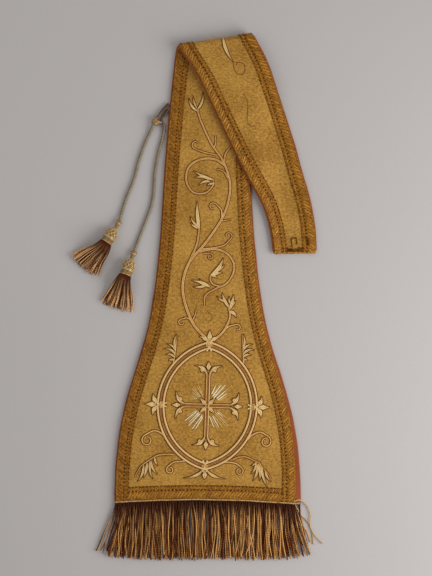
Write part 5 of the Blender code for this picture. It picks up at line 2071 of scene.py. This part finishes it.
@dataclass(frozen=True)
class Sprays:
    """The leaf sprays round the medallion and on the panel's shoulders, and the leaf on the strip."""

    sprays: tuple[tuple[str, Line, tuple[Leaf, ...]], ...] = (
        ("spray_low_left", Line(((-0.0454, 0.0709), (-0.0591, 0.0709), (-0.069, 0.069), (-0.079, 0.063),
            (-0.0905, 0.0545), (-0.0968, 0.044), (-0.0982, 0.04)), (0.0026, 0.0012)),
            leaves_of((-0.0868, 0.056, -0.0952, 0.031, 0.0037, 0.08),
            (-0.082, 0.059, -0.0871, 0.037, 0.0039, 0.04), (-0.0785, 0.0612, -0.0738, 0.0345, 0.0032, -0.06),
            (-0.0765, 0.0622, -0.0675, 0.0435, 0.0035, -0.12),
            (-0.0716, 0.0668, -0.0668, 0.0555, 0.0031, -0.1))),
        ("spray_low_right", Line(((0.0374, 0.064), (0.046, 0.0672), (0.056, 0.0672), (0.0672, 0.0622),
            (0.0747, 0.059), (0.08, 0.051), (0.0875, 0.043), (0.0908, 0.036)), (0.0026, 0.0012)),
            leaves_of((0.071, 0.0612, 0.0626, 0.0555, 0.0031, 0.14),
            (0.07, 0.059, 0.0626, 0.0435, 0.0035, 0.12), (0.073, 0.0585, 0.0656, 0.0318, 0.0041, 0.06),
            (0.075, 0.057, 0.0755, 0.033, 0.0039, 0.02), (0.0775, 0.054, 0.086, 0.0228, 0.0039, -0.05),
            (0.0828, 0.048, 0.0912, 0.0318, 0.0032, -0.08))),
        ("spray_high_left", Line(((-0.047, 0.197), (-0.045, 0.207), (-0.0432, 0.219), (-0.0415, 0.2376)),
            (0.0024, 0.001)), leaves_of((-0.0436, 0.2185, -0.042, 0.2385, 0.0034, 0.12),
            (-0.0438, 0.215, -0.056, 0.2255, 0.0032, -0.16),
            (-0.0445, 0.2105, -0.0593, 0.218, 0.0037, -0.18),
            (-0.0452, 0.2065, -0.0573, 0.21, 0.0034, -0.18),
            (-0.0458, 0.2025, -0.0532, 0.2015, 0.0036, -0.16))),
        ("spray_high_right", Line(((0.0512, 0.198), (0.0508, 0.208), (0.05, 0.22), (0.0494, 0.2382)),
            (0.0024, 0.001)), leaves_of((0.0502, 0.2185, 0.05, 0.2385, 0.0034, -0.12),
            (0.0505, 0.2155, 0.064, 0.2245, 0.0032, 0.16), (0.0508, 0.2105, 0.0664, 0.2165, 0.0037, 0.18),
            (0.051, 0.2065, 0.0622, 0.2095, 0.0034, 0.18), (0.0512, 0.203, 0.0565, 0.2015, 0.0031, 0.16)))
    )
    leaf_height: float = 0.0022
    thread_radius: float = 0.00035
    strip_leaf: Leaf = Leaf((0.0089, 0.6585), (0.0047, 0.691), 0.005, 0.08)
    scroll: tuple[Line, ...] = (
        Line(((0.005, 0.69), (0.0017, 0.699), (0.002, 0.707), (0.0085, 0.7116), (0.0147, 0.7066),
            (0.0166, 0.6976), (0.0108, 0.6936), (0.006, 0.6962)), (0.0009, 0.0007)),
        Line(((-0.0004, 0.737), (0.001, 0.7487), (-0.0045, 0.7635), (-0.0096, 0.7751), (-0.0079, 0.7835),
            (-0.0022, 0.7838)), (0.0009, 0.0007))
    )
    mark: Line = Line(
        ((0.0002, 0.2708), (0.0045, 0.2668), (0.0078, 0.2618), (0.0052, 0.2578), (0.0011, 0.2549)),
        (0.0009, 0.0006)
    )
    thread_ends: tuple[tuple[Triple, ...], ...] = (
        ((-0.002, 0.66, 0.0003), (-0.005, 0.656, 0.002), (-0.0085, 0.654, 0.003), (-0.01, 0.658, 0.0014)),
        ((-0.006, 0.662, 0.0003), (-0.0085, 0.657, 0.0016), (-0.006, 0.653, 0.0034),
            (-0.003, 0.6545, 0.0022))
    )

    def build(self) -> list[Piece]:
        """The four sprays and the strip's leaf, of which it gives those on the front cloth."""
        made = []
        for seed, (node, stem, leaves) in enumerate(self.sprays, 71):
            work = Needlework(node, seed)
            for leaf in leaves:
                work.leaf(leaf, PALE_SATIN, self.leaf_height)
            work.couched(stem)
            made += work.build()
        wear_and_shade = Needlework("front_mark", 77)
        wear_and_shade.cord(self.mark.path(), self.thread_radius, WORN_SILK)
        made += wear_and_shade.build(stands_for=False)
        work = Needlework("strip_leaf", 76, Half.BACK)
        work.leaf(self.strip_leaf, PALE_SATIN)
        for line in self.scroll:
            work.cord(line.path(), 0.5 * line.widths[0], WORN_SILK)
        for turns in self.thread_ends:
            spots = [FORM.on_cloth(Half.BACK, Vector((x, up)), out)[0] for x, up, out in turns]
            work.cords.setdefault(COPPER_CORD, Guide(78)).add(curve_through(spots, 5), self.thread_radius)
        work.build()
        return made


@dataclass(frozen=True)
class NeckWear:
    """Where the neck seam has frayed: rows of short dark stitches over the threadbare cloth and braid."""

    seed: int = 91
    stitch: Stitch = Stitch(0.0016, 0.003, 0.0013, 0.0007, 0.9, 1.0, 0.9)
    rows: tuple[tuple[Pair, Pair, float], ...] = (
        ((-0.0162, 0.964), (0.0127, 0.9719), 0.0006), ((-0.016, 0.9624), (0.013, 0.9703), 0.0006),
        ((-0.0156, 0.9609), (-0.002, 0.9646), 0.0006), ((0.001, 0.9655), (0.0128, 0.9687), 0.0006),
        ((-0.015, 0.9595), (-0.009, 0.9611), 0.0006), ((0.006, 0.9653), (0.012, 0.9669), 0.0006),
        ((-0.004, 0.95), (-0.0035, 0.961), 0.0005), ((0.0034, 0.95), (0.0036, 0.959), 0.0005),
        ((-0.0035, 0.9495), (0.003, 0.9498), 0.0005), ((0.0172, 0.953), (0.019, 0.965), 0.0024),
        ((0.0196, 0.956), (0.0206, 0.965), 0.0024)
    )

    def build(self) -> Piece:
        """The frayed places as one piece."""
        guide = Guide(self.seed)
        for start, end, out in self.rows:
            spots = [FORM.on_cloth(Half.BACK, Vector(start).lerp(Vector(end), k / 6), out) for k in range(7)]
            guide.add_spots(spots)
        return self.stitch.laid("neck_wear", guide, FRAYED, self.seed)


# ---- studio


@dataclass(frozen=True)
class Studio:
    """The camera straight above the stole, the pale ground and the soft light from the right."""

    view_x: float = 0.0112
    view_y: float = 0.0151
    view_height: float = 1.903
    lens: float = 85.0
    sensor: float = 36.0
    ground_half: float = 1.6
    ground_z: float = -0.0002
    key_place: Triple = (1.1, -0.3, 0.8)
    key_size: float = 1.0
    key_watts: float = 13.0
    fill_place: Triple = (-0.7, 0.6, 0.8)
    fill_size: float = 0.8
    fill_watts: float = 1.1
    sky: Colour = (1.0, 0.985, 0.98)
    sky_strength: float = 0.39

    def camera(self) -> None:
        """The scene's camera."""
        data = bpy.data.cameras.new("overhead")
        data.lens = self.lens
        data.sensor_fit = "VERTICAL"
        data.sensor_height = self.sensor
        data.clip_start = 0.05
        data.dof.use_dof = False
        made = linked("overhead", data)
        made.location = (self.view_x, self.view_y, self.view_height)
        bpy.context.scene.camera = made

    def ground(self) -> None:
        """The plain ground, which is no part of the stole."""
        mesh = bpy.data.meshes.new("ground")
        reach = self.ground_half
        corners = [(-reach, -reach), (reach, -reach), (reach, reach), (-reach, reach)]
        mesh.from_pydata([(x, y, self.ground_z) for x, y in corners], [], [(0, 1, 2, 3)])
        mesh.materials.append(GROUND.material())
        linked("ground", mesh)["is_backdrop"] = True

    def lights(self) -> None:
        """A soft light from the right, a weak one from the upper left, and an even sky."""
        lamps = (
            ("key_light", self.key_place, self.key_size, self.key_watts),
            ("fill_light", self.fill_place, self.fill_size, self.fill_watts)
        )
        for name, place, size, watts in lamps:
            data = bpy.data.lights.new(name, "AREA")
            data.size = size
            data.energy = watts
            made = linked(name, data)
            made.location = place
            made.rotation_euler = (-Vector(place)).to_track_quat("-Z", "Y").to_euler()
        world = bpy.data.worlds.new("studio")
        world.use_nodes = True
        background = world.node_tree.nodes["Background"]
        background.inputs["Color"].default_value = (*self.sky, 1.0)
        background.inputs["Strength"].default_value = self.sky_strength
        bpy.context.scene.world = world
        bpy.context.scene.view_settings.view_transform = "Standard"


# ---- the garment


class Stole:
    """The whole garment, built in order: cords, cloth, braid, embroidery and fringe."""

    def __init__(self) -> None:
        """Read the frame, and keep the solids' size."""
        self.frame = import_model()
        self.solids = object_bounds()

    def declare(self, cloths: dict[Half, Piece], on_front: Iterable[Piece]) -> None:
        """Work out the cloths' flat size, how they are held and their area, and run through what is sewn to
        the front; none of it is kept.
        """
        size = (2 * FORM.half_width(0.0), FORM.half_length)
        common = {"flat": size, "held": "folded", "area": FORM.half_area()}
        list(on_front)

    def build(self) -> None:
        """Make every piece."""
        TiedCord().build()
        cloths = ClothLayers().build()
        on_front = Galloon().build()
        on_front += Medallion().build()
        on_front += Vine().build()
        on_front += Sprays().build()
        NeckWear().build()
        self.declare(cloths, on_front)
        for fringe in FRINGES:
            fringe.build()

    def write_size(self) -> None:
        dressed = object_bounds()
        {"cad": [list(corner) for corner in self.solids], "visual": [list(c) for c in dressed]}
        LOG.info("solids %s, dressed %s", self.solids, dressed)


def main() -> None:
    """Build the stole and the studio."""
    logging.basicConfig(level=logging.INFO, format="%(name)s: %(message)s")
    studio = Studio()
    stole = Stole()
    studio.camera()
    stole.build()
    studio.ground()
    studio.lights()
    stole.write_size()


if __name__ == "__main__":
    main()
